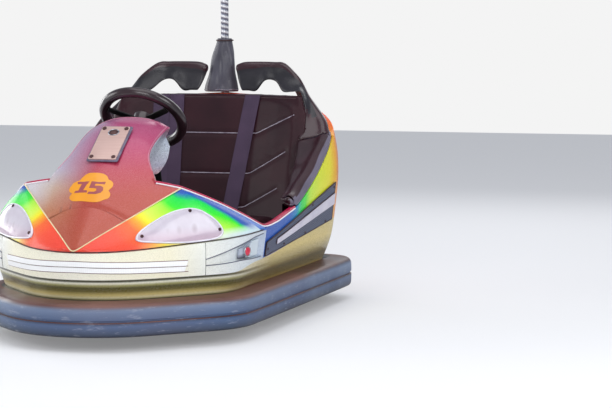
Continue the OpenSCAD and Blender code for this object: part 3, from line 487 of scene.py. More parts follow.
lowest = sums("MULTIPLY", span(above, 0.042, 0.014), span(reach, 0.22, 0.31))
skirting = ramp(span(reach, 0.22, 0.54), [(0, "f2a040"), (0.25, "f4dc20"), (0.5, "f4f0a0"),
                                          (0.75, "e8f4d8"), (1, "d4eaf2")])
rainbow = blend_colours(lowest, rainbow, skirting)
rear_edge = sums("ADD", y, sums("MULTIPLY", z, 1.5))
rainbow = blend_colours(span(rear_edge, 0.296, 0.304), rainbow, tone("0365c5"))
flaked(shader, rainbow, coords, 0.05)

bonnet_paint, tree, shader = material("bonnet_paint", "b74d43", 0.3, 0.1, 0.3)
coords, x, _, z = places(tree)
# Painted highlight: the spine's left side turns beige to lilac-silver up the slope, while the middle stays red
left = ramp(span(z, 0.42, 0.84), [(0, "b8573a"), (0.2, "c08058"), (0.4, "cbb09c"), (0.55, "bcb2c4"),
                                  (1, "9c92ba")])
middle = ramp(span(z, 0.42, 0.84), [(0, "b44a30"), (0.35, "b23e30"), (0.55, "b43044"), (0.75, "b42c60"),
                                    (0.95, "b64878"), (1, "b85280")])
drift = put(tree, "TexNoise", {"Vector": coords, "Scale": 7.0, "Detail": 2.0})
across = sums("ADD", x, span(drift.outputs[0], 0, 1, -0.03, 0.03))
# Painted highlight: a whiter patch low on the spine's left side
frost_and_highlight = sums("MULTIPLY", span(x, -0.17, -0.3), span(z, 0.47, 0.56))
left = blend_colours(frost_and_highlight, left, tone("d8d4dc"))
flaked(shader, blend_colours(span(across, -0.19, -0.01), left, middle), coords, 0.1, 1100.0)
bonnet = from_node("bonnet", [bonnet_paint, fan_paint], 1)
# Rows of the crease between spine and headlamp panel: half width, place y, height
crease = [(0.010, -0.880, 0.3695), (0.055, -0.840, 0.404), (0.113, -0.790, 0.444), (0.171, -0.740, 0.483),
          (0.226, -0.690, 0.521), (0.280, -0.640, 0.559), (0.327, -0.599, 0.590)]


def crease_at(place):
    """The crease's half width at a place y."""
    for (w0, y0, z0), (w1, y1, z1) in zip(crease, crease[1:]):
        if place <= y1:
            return w0 + (w1 - w0) * max(0, place - y0) / (y1 - y0)
    return crease[-1][0]


for face in bonnet.data.polygons:
    inside = abs(face.center.x) < crease_at(face.center.y) and face.center.y < crease[-1][1] + 0.002
    face.material_index = 0 if inside else 1


def skin_of(*pieces):
    """The surface of some pieces, to lay trim on."""
    points, faces = [], []
    for piece in pieces:
        first = len(points)
        points += [v.co.copy() for v in piece.data.vertices]
        faces += [[first + i for i in face.vertices] for face in piece.data.polygons]
    return BVHTree.FromPolygons(points, faces)


def tube(name, path, radius, paint, body="car", closed=False):
    """A round bead along a path, as piping and pinstripes are."""
    curve = bpy.data.curves.new(name, "CURVE")
    curve.dimensions = "3D"
    curve.bevel_depth = radius
    curve.bevel_resolution = 3
    curve.use_fill_caps = True
    line = curve.splines.new("NURBS" if len(path) > 3 else "POLY")
    line.points.add(len(path) - 1)
    for point, spot in zip(line.points, path):
        point.co = (*spot, 1)
    line.use_cyclic_u = closed
    line.use_endpoint_u = True
    line.order_u = 3
    line.resolution_u = 4
    placed(name, curve)
    bpy.ops.object.convert(target="MESH")
    bead = bpy.context.object
    cleaned(0.00002)
    bpy.ops.object.shade_smooth_by_angle(angle=math.radians(50))
    return dress(bead, name, paint, body)


def sided(path, s):
    """A path of the car's left side as it is for 1, and the same on the right side for -1."""
    return [(s * q[0], q[1], q[2]) for q in path]


def moved(path, x, y, z):
    """The path moved by x, y and z."""
    return [(q[0] + x, q[1] + y, q[2] + z) for q in path]


stripe_cream = blotched("stripe_cream", "e9d9a0", 0.3, 30.0, "ecdcae", "c9a878", 0.4, coat=0.3)[0]
rim_white = blotched("rim_white", "efeaf0", 0.3, 30.0, "f2eef2", "c9bcc6", 0.3, coat=0.4)[0]
rim_crimson = blotched("rim_crimson", "b3113f", 0.4, 18.0, "c0104a", "6d0c28", 0.5, coat=0.2)[0]
seam_black = blotched("seam_black", "2a1c20", 0.6, 25.0, "2a161a", "4a3034")[0]

stripe = moved(reversed(crease), 0, 0, 0.0015)
tube("pinstripe", stripe + sided(reversed(stripe), -1), 0.0026, stripe_cream)
# Rim of the cockpit: over the bonnet's crest from the pod, then down to the door
rim = [(w, -0.599, 0.590 + 0.032 * (1 - (w / 0.327) ** 2)) for w in (0.224, 0.25, 0.28, 0.305)]
for step in range(11):
    swell = math.sin(math.pi * step / 10)
    rim.append(tuple(rim_front.lerp(rim_back, step / 10) + Vector((0.014, -0.022, 0.010)) * swell))
# Flank of the body behind the corner piece: its half width at each height, and the height of the
# painted side's top edge at each y. The door's edge runs on top of the painted side.
flank_width = [(0.230, 0.507), (0.300, 0.530), (0.360, 0.539), (0.420, 0.547), (0.543, 0.561), (0.650, 0.559),
               (0.740, 0.543)]
side_top = [(-0.250, 0.412), (-0.100, 0.424), (0.130, 0.462), (0.350, 0.566), (0.500, 0.652), (0.620, 0.722)]


def level_at(table, place):
    """What a table of (place, value) gives at a place between two of its own."""
    for (start, low), (end, high) in zip(table, table[1:]):
        if place <= end:
            break
    return low + (high - low) * (place - start) / (end - start)


def on_flank(y, z, proud=0.0):
    """A place on the body's flank, or proud of it."""
    return level_at(flank_width, z) + proud, y, z


door = [on_flank(y, level_at(side_top, y), -0.0015) for y in (-0.200, -0.150, -0.100, -0.040, 0.020, 0.060, 0.092)]
belt = [(0.0000, -0.8812, 0.3650), (0.0704, -0.8741, 0.3657), (0.1380, -0.8533, 0.3678), (0.2001, -0.8195, 0.3708),
        (0.2542, -0.7742, 0.3747), (0.3391, -0.6877, 0.3821), (0.4240, -0.6011, 0.3899), (0.4809, -0.5437, 0.3955),
        (0.5110, -0.5030, 0.3997), (0.5330, -0.4570, 0.4031), (0.5437, -0.4174, 0.4052), (0.5472, -0.3764, 0.4065),
        (0.5472, -0.2872, 0.4069)]
belt = moved(belt, 0, 0, 0.001)
tube("belt_seam", list(reversed(belt[1:])) + sided(belt, -1), 0.0021, seam_black)
for side, s in both:
    tube("rim_piping_" + side, sided(moved(rim + door, 0.0005, -0.0010, 0.0012), s), 0.0032, rim_white)
    tube("rim_roll_" + side, sided(moved(rim + door, -0.0060, 0.0060, 0.0042), s), 0.0068, rim_crimson)
    tube("door_roll_" + side, sided(moved(door, -0.0200, 0, -0.0080), s), 0.0150, rim_crimson)

# Painted shadow: thin dark beads along the edges where the corner pieces' wedge-shaped scoops turn in
scoop_high = [(0.4279, -0.6051, 0.3230), (0.4699, -0.5613, 0.3390), (0.5013, -0.5209, 0.3550),
              (0.5246, -0.4757, 0.3680), (0.5402, -0.4272, 0.3800), (0.5466, -0.3764, 0.3910), (0.5469, -0.2872, 0.3930)]
scoop_low = [(0.4277, -0.6049, 0.2990), (0.4690, -0.5604, 0.3010), (0.4981, -0.5188, 0.3040), (0.5185, -0.4731, 0.3070),
             (0.5303, -0.4252, 0.3070), (0.5341, -0.3764, 0.3040), (0.5340, -0.2872, 0.3030)]
scoop_shadow_slate = blotched("scoop_shadow_slate", "454a60", 0.5, 25.0, "3c4056", "6a6f84")[0]
for side, s in both:
    for label, path in (("scoop_shadow_high_", scoop_high), ("scoop_shadow_low_", scoop_low)):
        tube(label + side, sided(path, s), 0.0018, scoop_shadow_slate)

# Pod: the cowl over the steering column, moulded in one with the bonnet, so its foot is let into
# the spine. Each side has a scoop, sprayed silver-white on the driver's left.
scoop_silver, tree, shader = material("scoop_silver", "a3b2c8", 0.3, 0.1, 0.3)
coords, _, _, z = places(tree)
spray_and_reflection = ramp(span(z, 0.62, 0.80), [(0, "b45a62"), (0.2, "b4aec4"), (0.55, "cad4e2"), (0.78, "b8c2d4"),
                                   (0.92, "b8789a"), (1, "ba577b")])
flaked(shader, spray_and_reflection, coords, 0.5, 420.0)
pod = from_node("pod", [bonnet_paint, scoop_silver], 2, 40)
# Its foot sinks into the spine, and its tip is drawn forward and down
spine = skin_of(bonnet)
for vertex in pod.data.vertices:
    hit = spine.ray_cast(Vector((vertex.co.x, vertex.co.y, 1.5)), Vector((0, 0, -1)))[0]
    if hit and vertex.co.y < -0.56:
        proud = vertex.co.z - hit.z
        vertex.co.z -= 0.0042 * max(0.0, min(1.0, (0.016 - proud) / 0.012))
    ahead = max(0.0, (-0.712 - vertex.co.y) / 0.026)
    vertex.co.y -= 0.016 * ahead * ahead
    vertex.co.z -= 0.0190 * ahead * ahead
for face in pod.data.polygons:
    spot, facing = face.center, face.normal
    if spot.y > -0.575 and abs(facing.x) > 0.62 and spot.z < 0.80 and spot.x * facing.x > 0:
        face.material_index = 1
pod_top = skin_of(bonnet, pod)


def pod_line(points):
    """A line on top of the pod and bonnet through points of plan (x, y)."""
    spots = []
    for px, py in points:
        hit = pod_top.ray_cast(Vector((px, py, 1.5)), Vector((0, 0, -1)))[0]
        spots.append((hit.x, hit.y, hit.z + 0.0006))
    return spots


# Painted highlights: thin pale pink beads along the pod's back crease and its shoulders, where light catches the edges
crease_highlight_pink = blotched("crease_highlight_pink", "d9b3c0", 0.3, 30.0, "cc8aa0", "a86078", 0.4, coat=0.3)[0]
tube("pod_back_highlight", pod_line([(k * 0.0146, -0.302) for k in range(-10, 11)]), 0.0016, crease_highlight_pink)
shoulder = [(0.149, -0.302), (0.151, -0.34), (0.153, -0.39), (0.154, -0.45), (0.156, -0.49), (0.161, -0.522),
            (0.172, -0.545), (0.196, -0.572)]
for side, s in both:
    tube("pod_shoulder_" + side, pod_line([(s * px, py) for px, py in shoulder]), 0.0016, crease_highlight_pink)

# Number patch: an orange cloud of paint with a slanted 15 in slab letters, stuck on the pod's slope
patch_slope = math.radians(47.7)
patch_middle = Vector((0, -0.699, 0.597))
patch_up = Vector((0, math.cos(patch_slope), math.sin(patch_slope)))


def laid(name, loop, origin, across, up, base, rise, thickness, step, paint):
    """A film or cover whose outline lies on a plane, laid on a surface and raised by rise(place)."""
    out = across.cross(up)
    wide, high = (max(abs(q[i]) for q in loop) for i in (0, 1))
    inner = [Vector((i * step, j * step)) for i in range(-int(wide / step), int(wide / step) + 1)
             for j in range(-int(high / step), int(high / step) + 1)]
    points, _, faces, _, _, _ = geometry.delaunay_2d_cdt(loop + inner, [], [list(range(len(loop)))], 1, 0.00001)
    spots = []
    for q in points:
        hit = base.ray_cast(origin + across * q.x + up * q.y + out * 0.15, -out)[0]
        spots.append((hit or origin + across * q.x + up * q.y) + out * rise(q))
    mesh = bpy.data.meshes.new(name)
    mesh.from_pydata(spots, [], faces)
    film = placed(name, mesh)
    bpy.ops.object.mode_set(mode="EDIT")
    bpy.ops.mesh.select_all(action="SELECT")
    bpy.ops.mesh.delete_loose()
    bpy.ops.mesh.select_all(action="SELECT")
    bpy.ops.mesh.normals_make_consistent(inside=False)
    bpy.ops.object.mode_set(mode="OBJECT")
    if sum(face.normal.dot(out) * face.area for face in film.data.polygons) < 0:
        film.data.flip_normals()
    shaped(film, "SOLIDIFY", thickness=thickness, offset=-1)
    bpy.ops.object.shade_smooth_by_angle(angle=math.radians(35))
    return dress(film, name, paint, "car")


def rounded(loop, times):
    """The loop with its corners cut round."""
    for _ in range(times):
        loop = [a.lerp(b, f) for a, b in zip(loop, loop[1:] + loop[:1]) for f in (0.25, 0.75)]
    return loop


def decal(name, outline, lift, paint, smooth=0):
    """A film of paint on the pod's slope, its outline in millimetres on the patch's plane."""
    loop = rounded([Vector(q) / 1000 for q in outline], smooth)
    laid(name, loop, patch_middle, Vector((1, 0, 0)), patch_up, pod_top, lambda q: lift, 0.0006, 0.006, paint)


patch_orange = blotched("patch_orange", "f0991c", 0.35, 16.0, "f3a222", "e28a1c", 0.35, bump=(120.0, 0.0006),
                        coat=0.3)[0]
figure_mauve = blotched("figure_mauve", "a4564e", 0.4, 24.0, "a8504a", "964a5c", coat=0.2)[0]
decal("number_patch", [(-58, 42), (-47, 61), (-32, 72), (-8, 73), (16, 72), (38, 66), (51, 54), (56, 42), (70, 38),
                       (80, 27), (81, 12), (75, 0), (68, -8), (79, -18), (82, -34), (75, -46), (61, -52), (48, -62),
                       (29, -67), (2, -66), (-25, -63), (-46, -63), (-65, -62), (-80, -52), (-85, -42), (-82, -32),
                       (-75, -25), (-88, -20), (-96, -8), (-96, 1), (-90, 13), (-87, 23), (-76, 31), (-61, 34)],
      0.0012, patch_orange, 2)
decal("figure_one", [(-68, 28), (-17, 29), (-21, 18), (-24, 17), (-32, -14), (-16, -14), (-14, -24), (-68, -25),
                     (-65, -15), (-52, -14), (-46, 17), (-64, 17)], 0.0018, figure_mauve)
decal("figure_five", [(-8, 29), (50, 30), (48, 18), (12, 18), (9, 9), (34, 9), (46, 3), (49, -10), (42, -22), (23, -30),
                      (-10, -31), (-7, -20), (15, -20), (23, -14), (20, -5), (8, -3), (-10, -3)], 0.0018,
      figure_mauve)

# Coin plate: a brushed copper-coloured plate on a mauve-grey gasket, held by four screws, with the
# coin mechanism's round eye near its top.
plate_place = Matrix.Translation((0, -0.5207, 0.7487)) @ Matrix.Rotation(math.radians(37.1), 4, "X")
plate_level, eye_height = 0.0088, 0.060


def slab(name, size, middle, corner, soft, paint, place, body="car"):
    """A plate with rounded corners and a softened edge."""
    bpy.ops.mesh.primitive_cube_add(size=1)
    piece = bpy.context.object
    piece.data.transform(Matrix.Diagonal((*size, 1)))
    bpy.ops.object.mode_set(mode="EDIT")
    bpy.ops.mesh.select_mode(type="EDGE")
    bpy.ops.mesh.select_all(action="DESELECT")
    bpy.ops.object.mode_set(mode="OBJECT")
    for line in piece.data.edges:
        a, b = (piece.data.vertices[i].co for i in line.vertices)
        line.select = abs(a.z - b.z) > size[2] / 2
    bpy.ops.object.mode_set(mode="EDIT")
    bpy.ops.mesh.bevel(offset=corner, segments=5, affect="EDGES")
    bpy.ops.object.mode_set(mode="OBJECT")
    shaped(piece, "BEVEL", width=soft, segments=2, limit_method="ANGLE")
    piece.data.transform(Matrix.Translation(middle))
    return dress(settle(piece, place), name, paint, body)


def dished(piece, steps):
    """Insets the piece's top again and again, each time by (inset, rise)."""
    bpy.ops.object.mode_set(mode="EDIT")
    bpy.ops.mesh.select_mode(type="FACE")
    bpy.ops.mesh.select_all(action="DESELECT")
    bpy.ops.object.mode_set(mode="OBJECT")
    for face in piece.data.polygons:
        face.select = face.normal.z > 0.9
    bpy.ops.object.mode_set(mode="EDIT")
    for inset, rise in steps:
        bpy.ops.mesh.inset(thickness=inset)
        bpy.ops.transform.translate(value=(0, 0, rise))
    bpy.ops.object.mode_set(mode="OBJECT")


def screw(name, spot, out, radius, paint):
    """A domed screw head with a dimple in its top."""
    bpy.ops.mesh.primitive_cylinder_add(radius=radius, depth=radius * 0.5, vertices=24)
    piece = bpy.context.object
    dished(piece, ((radius * 0.35, radius * 0.22), (radius * 0.2, -radius * 0.25)))
    turn = Vector(out).to_track_quat("Z", "X").to_matrix().to_4x4()
    return dress(settle(piece, Matrix.Translation(spot) @ turn), name, paint, "car")


gasket = blotched("gasket", "6d6478", 0.6, 30.0, "5f566c", "7d7488")[0]
copper, tree, shader = material("copper", "c9aaa2", 0.4, 0.2)
brushed = put(tree, "VectorMath", {0: places(tree)[0], 1: (6, 300, 300)}, operation="MULTIPLY")
grain = put(tree, "TexNoise", {"Vector": brushed.outputs[0], "Scale": 1.0, "Detail": 3.0})
feed(shader, "Base Color", blend_colours(grain.outputs[0], tone("c39c94"), tone("dcbfb6")))
feed(shader, "Roughness", span(grain.outputs[0], 0, 1, 0.3, 0.5))
dark_screw = blotched("dark_screw", "4a2e34", 0.4, 60.0, "3a2228", "6a4a48", metallic=0.5)[0]
slab("coin_gasket", (0.131, 0.206, 0.004), (0.0025, -0.0015, 0.0022), 0.008, 0.001, gasket, plate_place)
plate = slab("coin_plate_face", (0.116, 0.192, 0.0052), (0, 0, 0.0056), 0.006, 0.001, copper,
             plate_place)
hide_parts("coin_plate")
out = plate_place.to_3x3() @ Vector((0, 0, 1))
for i, (u, v) in enumerate(((-0.046, -0.083), (0.046, -0.083), (-0.046, 0.083), (0.046, 0.083))):
    screw("coin_screw_%d" % (i + 1), plate_place @ Vector((u, v, plate_level)), out, 0.0085, dark_screw)
bpy.ops.mesh.primitive_torus_add(major_radius=0.0215, minor_radius=0.002, major_segments=48, minor_segments=10)
eye = bpy.context.object
eye.data.transform(Matrix.Translation((0, eye_height, plate_level)) @ Matrix.Scale(0.8, 4, (0, 1, 0)))
dress(settle(eye, plate_place), "coin_eye_ring", chrome, "car")
# Painted shade: a dark flat disc inside the ring stands for the shadow in the eye's recess
bpy.ops.mesh.primitive_uv_sphere_add(radius=0.0208, segments=32, ring_count=12)
eye = bpy.context.object
eye.data.transform(Matrix.Translation((0, eye_height, plate_level - 0.0001)) @ Matrix.Diagonal((1, 0.8, 0.1, 1)))
dress(settle(eye, plate_place), "coin_eye", dark_screw, "car")

# Headlamp covers: frosted mouldings over the lamps, each in a paler rim with three dark screws. The
# lamps behind show as dim spots low in the cover.
lens_paint, tree, shader = material("lens_paint", "d9d2dc", 0.24, 0.0, 0.5)
coords, x, y, z = places(tree)
frost_and_highlight = put(tree, "TexNoise", {"Vector": coords, "Scale": 18.0, "Detail": 2.0})
low = span(z, 0.45, 0.41)
colour = blend_colours(frost_and_highlight.outputs[0], tone("d6d0dc"), tone("c2b8c6"))
colour = blend_colours(sums("MULTIPLY", low, 0.6), colour, tone("c4a2b4"))
mirrored = put(tree, "CombineXYZ", {0: sums("ABSOLUTE", x), 1: y, 2: sums("MULTIPLY", z, 0.6)})
for spot in ((0.302, -0.690, 0.2556), (0.338, -0.662, 0.2592), (0.386, -0.622, 0.2628)):
    near = put(tree, "VectorMath", {0: mirrored.outputs[0], 1: spot}, operation="DISTANCE")
    dim = sums("MULTIPLY", span(near.outputs["Value"], 0.016, 0.004), 0.45)
    colour = blend_colours(dim, colour, tone("7f5f70"))
feed(shader, "Base Color", colour)
rough_bump(shader, coords, 220.0, 0.0004, 0.4)
lens_rim = blotched("lens_rim", "e6e6ee", 0.25, 20.0, "eceaf2", "c2bccb", 0.4, coat=0.4)[0]
lens_edge = [(0.207, -0.780, 0.412), (0.215, -0.765, 0.436), (0.242, -0.729, 0.462), (0.290, -0.674, 0.498),
             (0.330, -0.637, 0.514), (0.369, -0.608, 0.519), (0.399, -0.588, 0.511), (0.425, -0.573, 0.494),
             (0.448, -0.556, 0.474), (0.466, -0.543, 0.450), (0.477, -0.537, 0.426), (0.472, -0.549, 0.408),
             (0.454, -0.568, 0.397), (0.407, -0.614, 0.392), (0.369, -0.653, 0.389), (0.305, -0.715, 0.393),
             (0.245, -0.767, 0.400), (0.217, -0.782, 0.403)]


def mirrored_copy(piece, name, node=None):
    """The right-hand copy of a piece with a mesh of its own, in place of a right-hand CAD node or as a new piece."""
    twin = placed(name, piece.data.copy())
    twin.data.transform(Matrix.Scale(-1, 4, (1, 0, 0)))
    twin.data.flip_normals()
    dress(twin, name, list(piece.data.materials), "car")
    for face, model in zip(twin.data.polygons, piece.data.polygons):
        face.material_index = model.material_index
    if node:
        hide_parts(node)
    return twin


lens_points = [Vector(q) for q in lens_edge]
lens_middle = sum(lens_points, Vector()) / len(lens_points)
lens_out = geometry.normal(lens_points)
lens_out = lens_out if lens_out.z > 0 else -lens_out
lens_across = (lens_points[10] - lens_points[0]).normalized()
lens_across = (lens_across - lens_out * lens_across.dot(lens_out)).normalized()
lens_up = lens_out.cross(lens_across)


def on_plane(q):
    """The point of the cover's plane under or over a place."""
    offset = Vector(q) - lens_middle
    return Vector((offset.dot(lens_across), offset.dot(lens_up)))


lens_loop = rounded([on_plane(q) for q in lens_points], 2)


def lens_rise(q):
    """The cover's height over the panel: it domes up from its edge."""
    near = min((q - a).length for a in lens_loop)
    return 0.0028 + 0.0042 * math.sin(math.pi / 2 * min(1.0, near / 0.03))


lens = laid("headlamp_cover_left", lens_loop, lens_middle, lens_across, lens_up, skin_of(bonnet), lens_rise, 0.0022,
            0.008, lens_paint)
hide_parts("headlamp_lens_left")
mirrored_copy(lens, "headlamp_cover_right", "headlamp_lens_right")
cover = skin_of(lens)


def on_lens(q):
    """The place of the cover under a point of its plane."""
    return cover.ray_cast(lens_middle + lens_across * q[0] + lens_up * q[1] + lens_out * 0.15, -lens_out)


brim = [tuple(hit) for hit in (on_lens(q * 0.975)[0] for q in lens_loop[::2]) if hit]
for side, s in both:
    tube("lens_rim_" + side, sided(brim, s), 0.0034, lens_rim, closed=True)
for i, q in enumerate(((0.222, -0.771, 0.420), (0.367, -0.612, 0.512), (0.469, -0.545, 0.432))):
    hit, out, _, _ = on_lens(on_plane(q) * 0.94)
    if hit:
        one = screw("lens_screw_left_%d" % (i + 1), hit, out, 0.0066, dark_screw)
        mirrored_copy(one, "lens_screw_right_%d" % (i + 1))

# Sides and tail: sprayed from blue at the door through green and yellow to orange at the shoulder.
# A ribbed grey panel runs along each side, with a lilac-white light strip in a dark rim on it.
side_paint, tree, shader = material("side_paint", "1ce164", 0.22, 0.0, 0.12)
shader.inputs["Specular IOR Level"].default_value = 0.3
coords, _, y, _ = places(tree)
wash = put(tree, "TexNoise", {"Vector": coords, "Scale": 8.0, "Detail": 3.0})
value = sums("ADD", y, span(wash.outputs[0], 0, 1, -0.03, 0.03))
rainbow = ramp(span(value, -0.3, 0.95), [(0, "0350b4"), (0.27, "0a5cc0"), (0.33, "0c94c8"),
                                         (0.375, "0ce060"), (0.41, "54ee2c"), (0.45, "ccf82a"),
                                         (0.56, "ecf618"), (0.66, "f8ee18"), (0.72, "fbbc1c"),
                                         (0.77, "f88028"), (0.84, "f04c2c"), (1, "d42c34")])
flaked(shader, rainbow, coords, 0.05)
ribbed_grey, tree, shader = material("ribbed_grey", "535a70", 0.5)
_, _, y, z = places(tree)
level = sums("SUBTRACT", z, sums("MULTIPLY", y, 0.145))
wave = span(sums("PINGPONG", sums("ADD", level, 1.0), 0.0045), 0, 0.0045)
feed(shader, "Base Color", blend_colours(wave, tone("3e4358"), tone("6b728a")))
bumped(shader, wave, 0.002, 0.8)
strip_white = blotched("strip_white", "cdc7da", 0.25, 12.0, "dcd7e6", "b7aecb", 0.5, coat=0.4)[0]
# Lower and upper edge of the panel: places (y, height)
panel_low = [(-0.235, 0.298), (0.0, 0.316), (0.300, 0.340), (0.596, 0.366)]
panel_high = [(-0.235, 0.352), (0.0, 0.396), (0.300, 0.462), (0.596, 0.524)]


def panel_loop(stations, low, high, proud):
    """A loop on the panel, between two shares of its height: back along the lower one, then forward."""
    line = [(y, low) for y in stations] + [(y, high) for y in reversed(stations)]
    return [on_flank(y, level_at(panel_low, y) * (1 - share) + level_at(panel_high, y) * share, proud)
            for y, share in line]


strip_edge = panel_loop((-0.120, 0.0, 0.120, 0.240, 0.360, 0.480, 0.584), 0.42, 0.72, 0.007)
panel_edge = panel_loop((-0.235, -0.118, 0.0, 0.118, 0.236, 0.354, 0.472, 0.590), 0, 1, 0.005)


def squared(path):
    """The path with its corner points doubled, so that the bead turns sharply there."""
    spots = []
    for i, q in enumerate(path):
        a, b = Vector(path[i - 1]), Vector(path[(i + 1) % len(path)])
        bend = (Vector(q) - a).angle(b - Vector(q))
        spots += [q] * (3 if bend > 0.6 else 1)
    return spots


for side, s in both:
    from_node("side_shell_" + side, side_paint, 1)
    panel = from_node("side_panel_" + side, ribbed_grey, 1)
    strip = from_node("side_light_" + side, strip_white, 1)
    for label, path, radius in (("strip_rim_", strip_edge, 0.0028), ("panel_rim_", panel_edge, 0.0024)):
        tube(label + side, squared(sided(path, s)), radius, seam_black, closed=True)
    panel = skin_of(panel, strip)
    for i, (py, pz) in enumerate(((-0.215, 0.325), (-0.02, 0.325), (0.24, 0.343), (0.5, 0.366), (0.572, 0.505),
                                  (0.3, 0.452))):
        hit, out, _, _ = panel.ray_cast(Vector((s * 0.8, py, pz)), Vector((-s, 0, 0)))
        if hit:
            screw("panel_screw_%s_%d" % (side, i + 1), hit, out, 0.0052, dark_screw)
from_node("rear_shell", side_paint, 1)

# Cockpit: a black ribbed floor mat over the seat's plinth, dull black side liners, a diamond mesh
# bulkhead in front of the feet, the closing panel under the pod, and the drive pedal.
floor_mat, tree, shader, _, _ = blotched("floor_mat", "17171a", 0.7, 7.0, "151517", "34302e", 0.6)
ribs = sums("PINGPONG", sums("ADD", places(tree)[1], 1.0), 0.006)
bumped(shader, span(ribs, 0, 0.006), 0.002, 0.7)
liner = blotched("liner", "17171a", 0.55, 9.0, "121214", "3a383c", 0.5, "Rubs", bump=(300.0, 0.0005))[0]
from_node("floor_pan", floor_mat, 0)
from_node("cockpit_liner", liner, 1)
# The panels' inner faces take the dark, dull liner
for label in ("belly_shell", "front_band", "corner_left", "corner_right", "bonnet", "pod", "side_shell_left",
              "side_shell_right", "rear_shell"):
    shell = bpy.data.objects[label + "_finish"]
    shell.data.materials.append(liner)
    for face in shell.data.polygons:
        spot = face.center
        core = Vector((0, max(-0.62, min(0.55, spot.y)), 0.48 if label == "belly_shell" else 0.30))
        if face.normal.dot((spot - core).normalized()) < -0.2:
            face.material_index = len(shell.data.materials) - 1
from_node("dash_panel", liner, 0)
from_node("mesh_bulkhead", black_steel, 0)
from_node("pedal", grey_steel, 0)

# Seat: aubergine vinyl over foam. The backrest is one padded form with a flat middle and sides that
# sweep forward under the pads; thin light piping crosses it in three shallow chevrons.
grain, start, end = group("Vinyl grain", [("Vector", "Vector", None), ("Scale", "Float", 500.0)], [("Height", "Float")])
cells = put(grain, "TexVoronoi", {"Vector": start.outputs[0], "Scale": start.outputs[1]}, feature="SMOOTH_F1")
soft = put(grain, "TexNoise", {"Vector": start.outputs[0], "Scale": 14.0, "Detail": 3.0})
grain.links.new(sums("ADD", sums("MULTIPLY", cells.outputs[0], 0.35), soft.outputs[0]), end.inputs[0])


def vinyl(name, deep, worn, roughness, coat, depth=0.0012):
    """A vinyl with grain, worn patches and a gloss of its own. Its shader is returned with it."""
    made, tree, shader, coords, marks = blotched(name, deep, roughness, 6.0, deep, worn, 0.7, coat=coat)
    wear = span(marks.outputs["Rubs"], 0, 1, roughness - 0.06, roughness + 0.14)
    feed(shader, "Roughness", wear)
    bumped(shader, use(tree, grain, Vector=coords).outputs[0], depth)
    return made, shader


seat_vinyl, shader = vinyl("seat_vinyl", "260a15", "38161f", 0.5, 0.0)
shader.inputs["Specular IOR Level"].default_value = 0.25
piping_grey = blotched("piping_grey", "8e8494", 0.45, 40.0, "b3aab8", "776b7c", coat=0.2)[0]


def stuffed(node, paint, voxel, push, cap, held):
    """A padded cover in place of a CAD cushion: remeshed, taken in a little and blown up as cloth.
    Where held(place, normal) is true the cover rests on what carries it and stays put. Without a
    push nothing is simulated."""
    piece = merged_copy(node)
    shaped(piece, "REMESH", mode="VOXEL", voxel_size=voxel)
    rest = [(v.co.copy(), v.normal.copy()) for v in piece.data.vertices]
    shaped(piece, "DISPLACE", mid_level=0, strength=-0.004)
    if push:
        cloth = piece.modifiers.new("cloth", "CLOTH")
        cloth.settings.use_pressure = True
        cloth.settings.uniform_pressure_force = push
        cloth.settings.effector_weights.gravity = 0
        cloth.settings.quality = 4
        cloth.collision_settings.use_collision = False
        for step in range(1, 21):
            bpy.context.scene.frame_set(step)
        bpy.ops.object.modifier_apply(modifier="cloth")
        bpy.context.scene.frame_set(1)
    for vertex, (spot, out) in zip(piece.data.vertices, rest):
        move = vertex.co - spot
        if held(spot, out):
            vertex.co = spot - out * 0.002
        elif move.length > cap:
            vertex.co = spot + move * (cap / move.length)
    shaped(piece, "SMOOTH", factor=0.5, iterations=4)
    bpy.ops.object.shade_smooth()
    dress(piece, node + "_cover", paint, frame["nodes"][node]["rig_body"])
    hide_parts(node)
    return piece


def on_back(spot, out):
    """Where the backrest lies on the tail and on the cushion."""
    return out.y > 0.25 or out.z < -0.5 or (abs(spot.x) > 0.41 and out.x * spot.x > 0)


backrest = stuffed("backrest", seat_vinyl, 0.008, 3.0, 0.007, on_back)
cushion = stuffed("seat_cushion", seat_vinyl, 0.008, 4.0, 0.010, lambda spot, out: out.z < -0.4 or out.y > 0.6)
# Chevrons of the backrest: points (x, z) from the middle outwards
chevrons = [[(0.0, 0.725), (0.207, 0.725), (0.30, 0.767), (0.392, 0.809)],
            [(0.0, 0.556), (0.191, 0.556), (0.28, 0.604), (0.368, 0.655)],
            [(0.0, 0.415), (0.180, 0.415), (0.27, 0.462), (0.345, 0.503)]]


def off_line(px, pz, line):
    """How far a place of the backrest's front is from a chevron."""
    best = 9.0
    here = Vector((abs(px), pz))
    for a, b in zip(line, line[1:]):
        a, b = Vector(a), Vector(b)
        share = max(0.0, min(1.0, (here - a).dot(b - a) / (b - a).length_squared))
        best = min(best, (here - a.lerp(b, share)).length)
    return best


for vertex in backrest.data.vertices:
    if vertex.normal.y < -0.2:
        near = min(off_line(vertex.co.x, vertex.co.z, line) for line in chevrons)
        vertex.co -= vertex.normal * 0.004 * math.exp(-(near / 0.012) ** 2)


def on_front(surface, points, sunk):
    """A path on a padded front, seen from the nose, through points (x, z) and let in a little."""
    hits = [surface.ray_cast(Vector((px, -0.5, pz)), Vector((0, 1, 0)))[0] for px, pz in points]
    return [(hit.x, hit.y + sunk, hit.z) for hit in hits if hit]


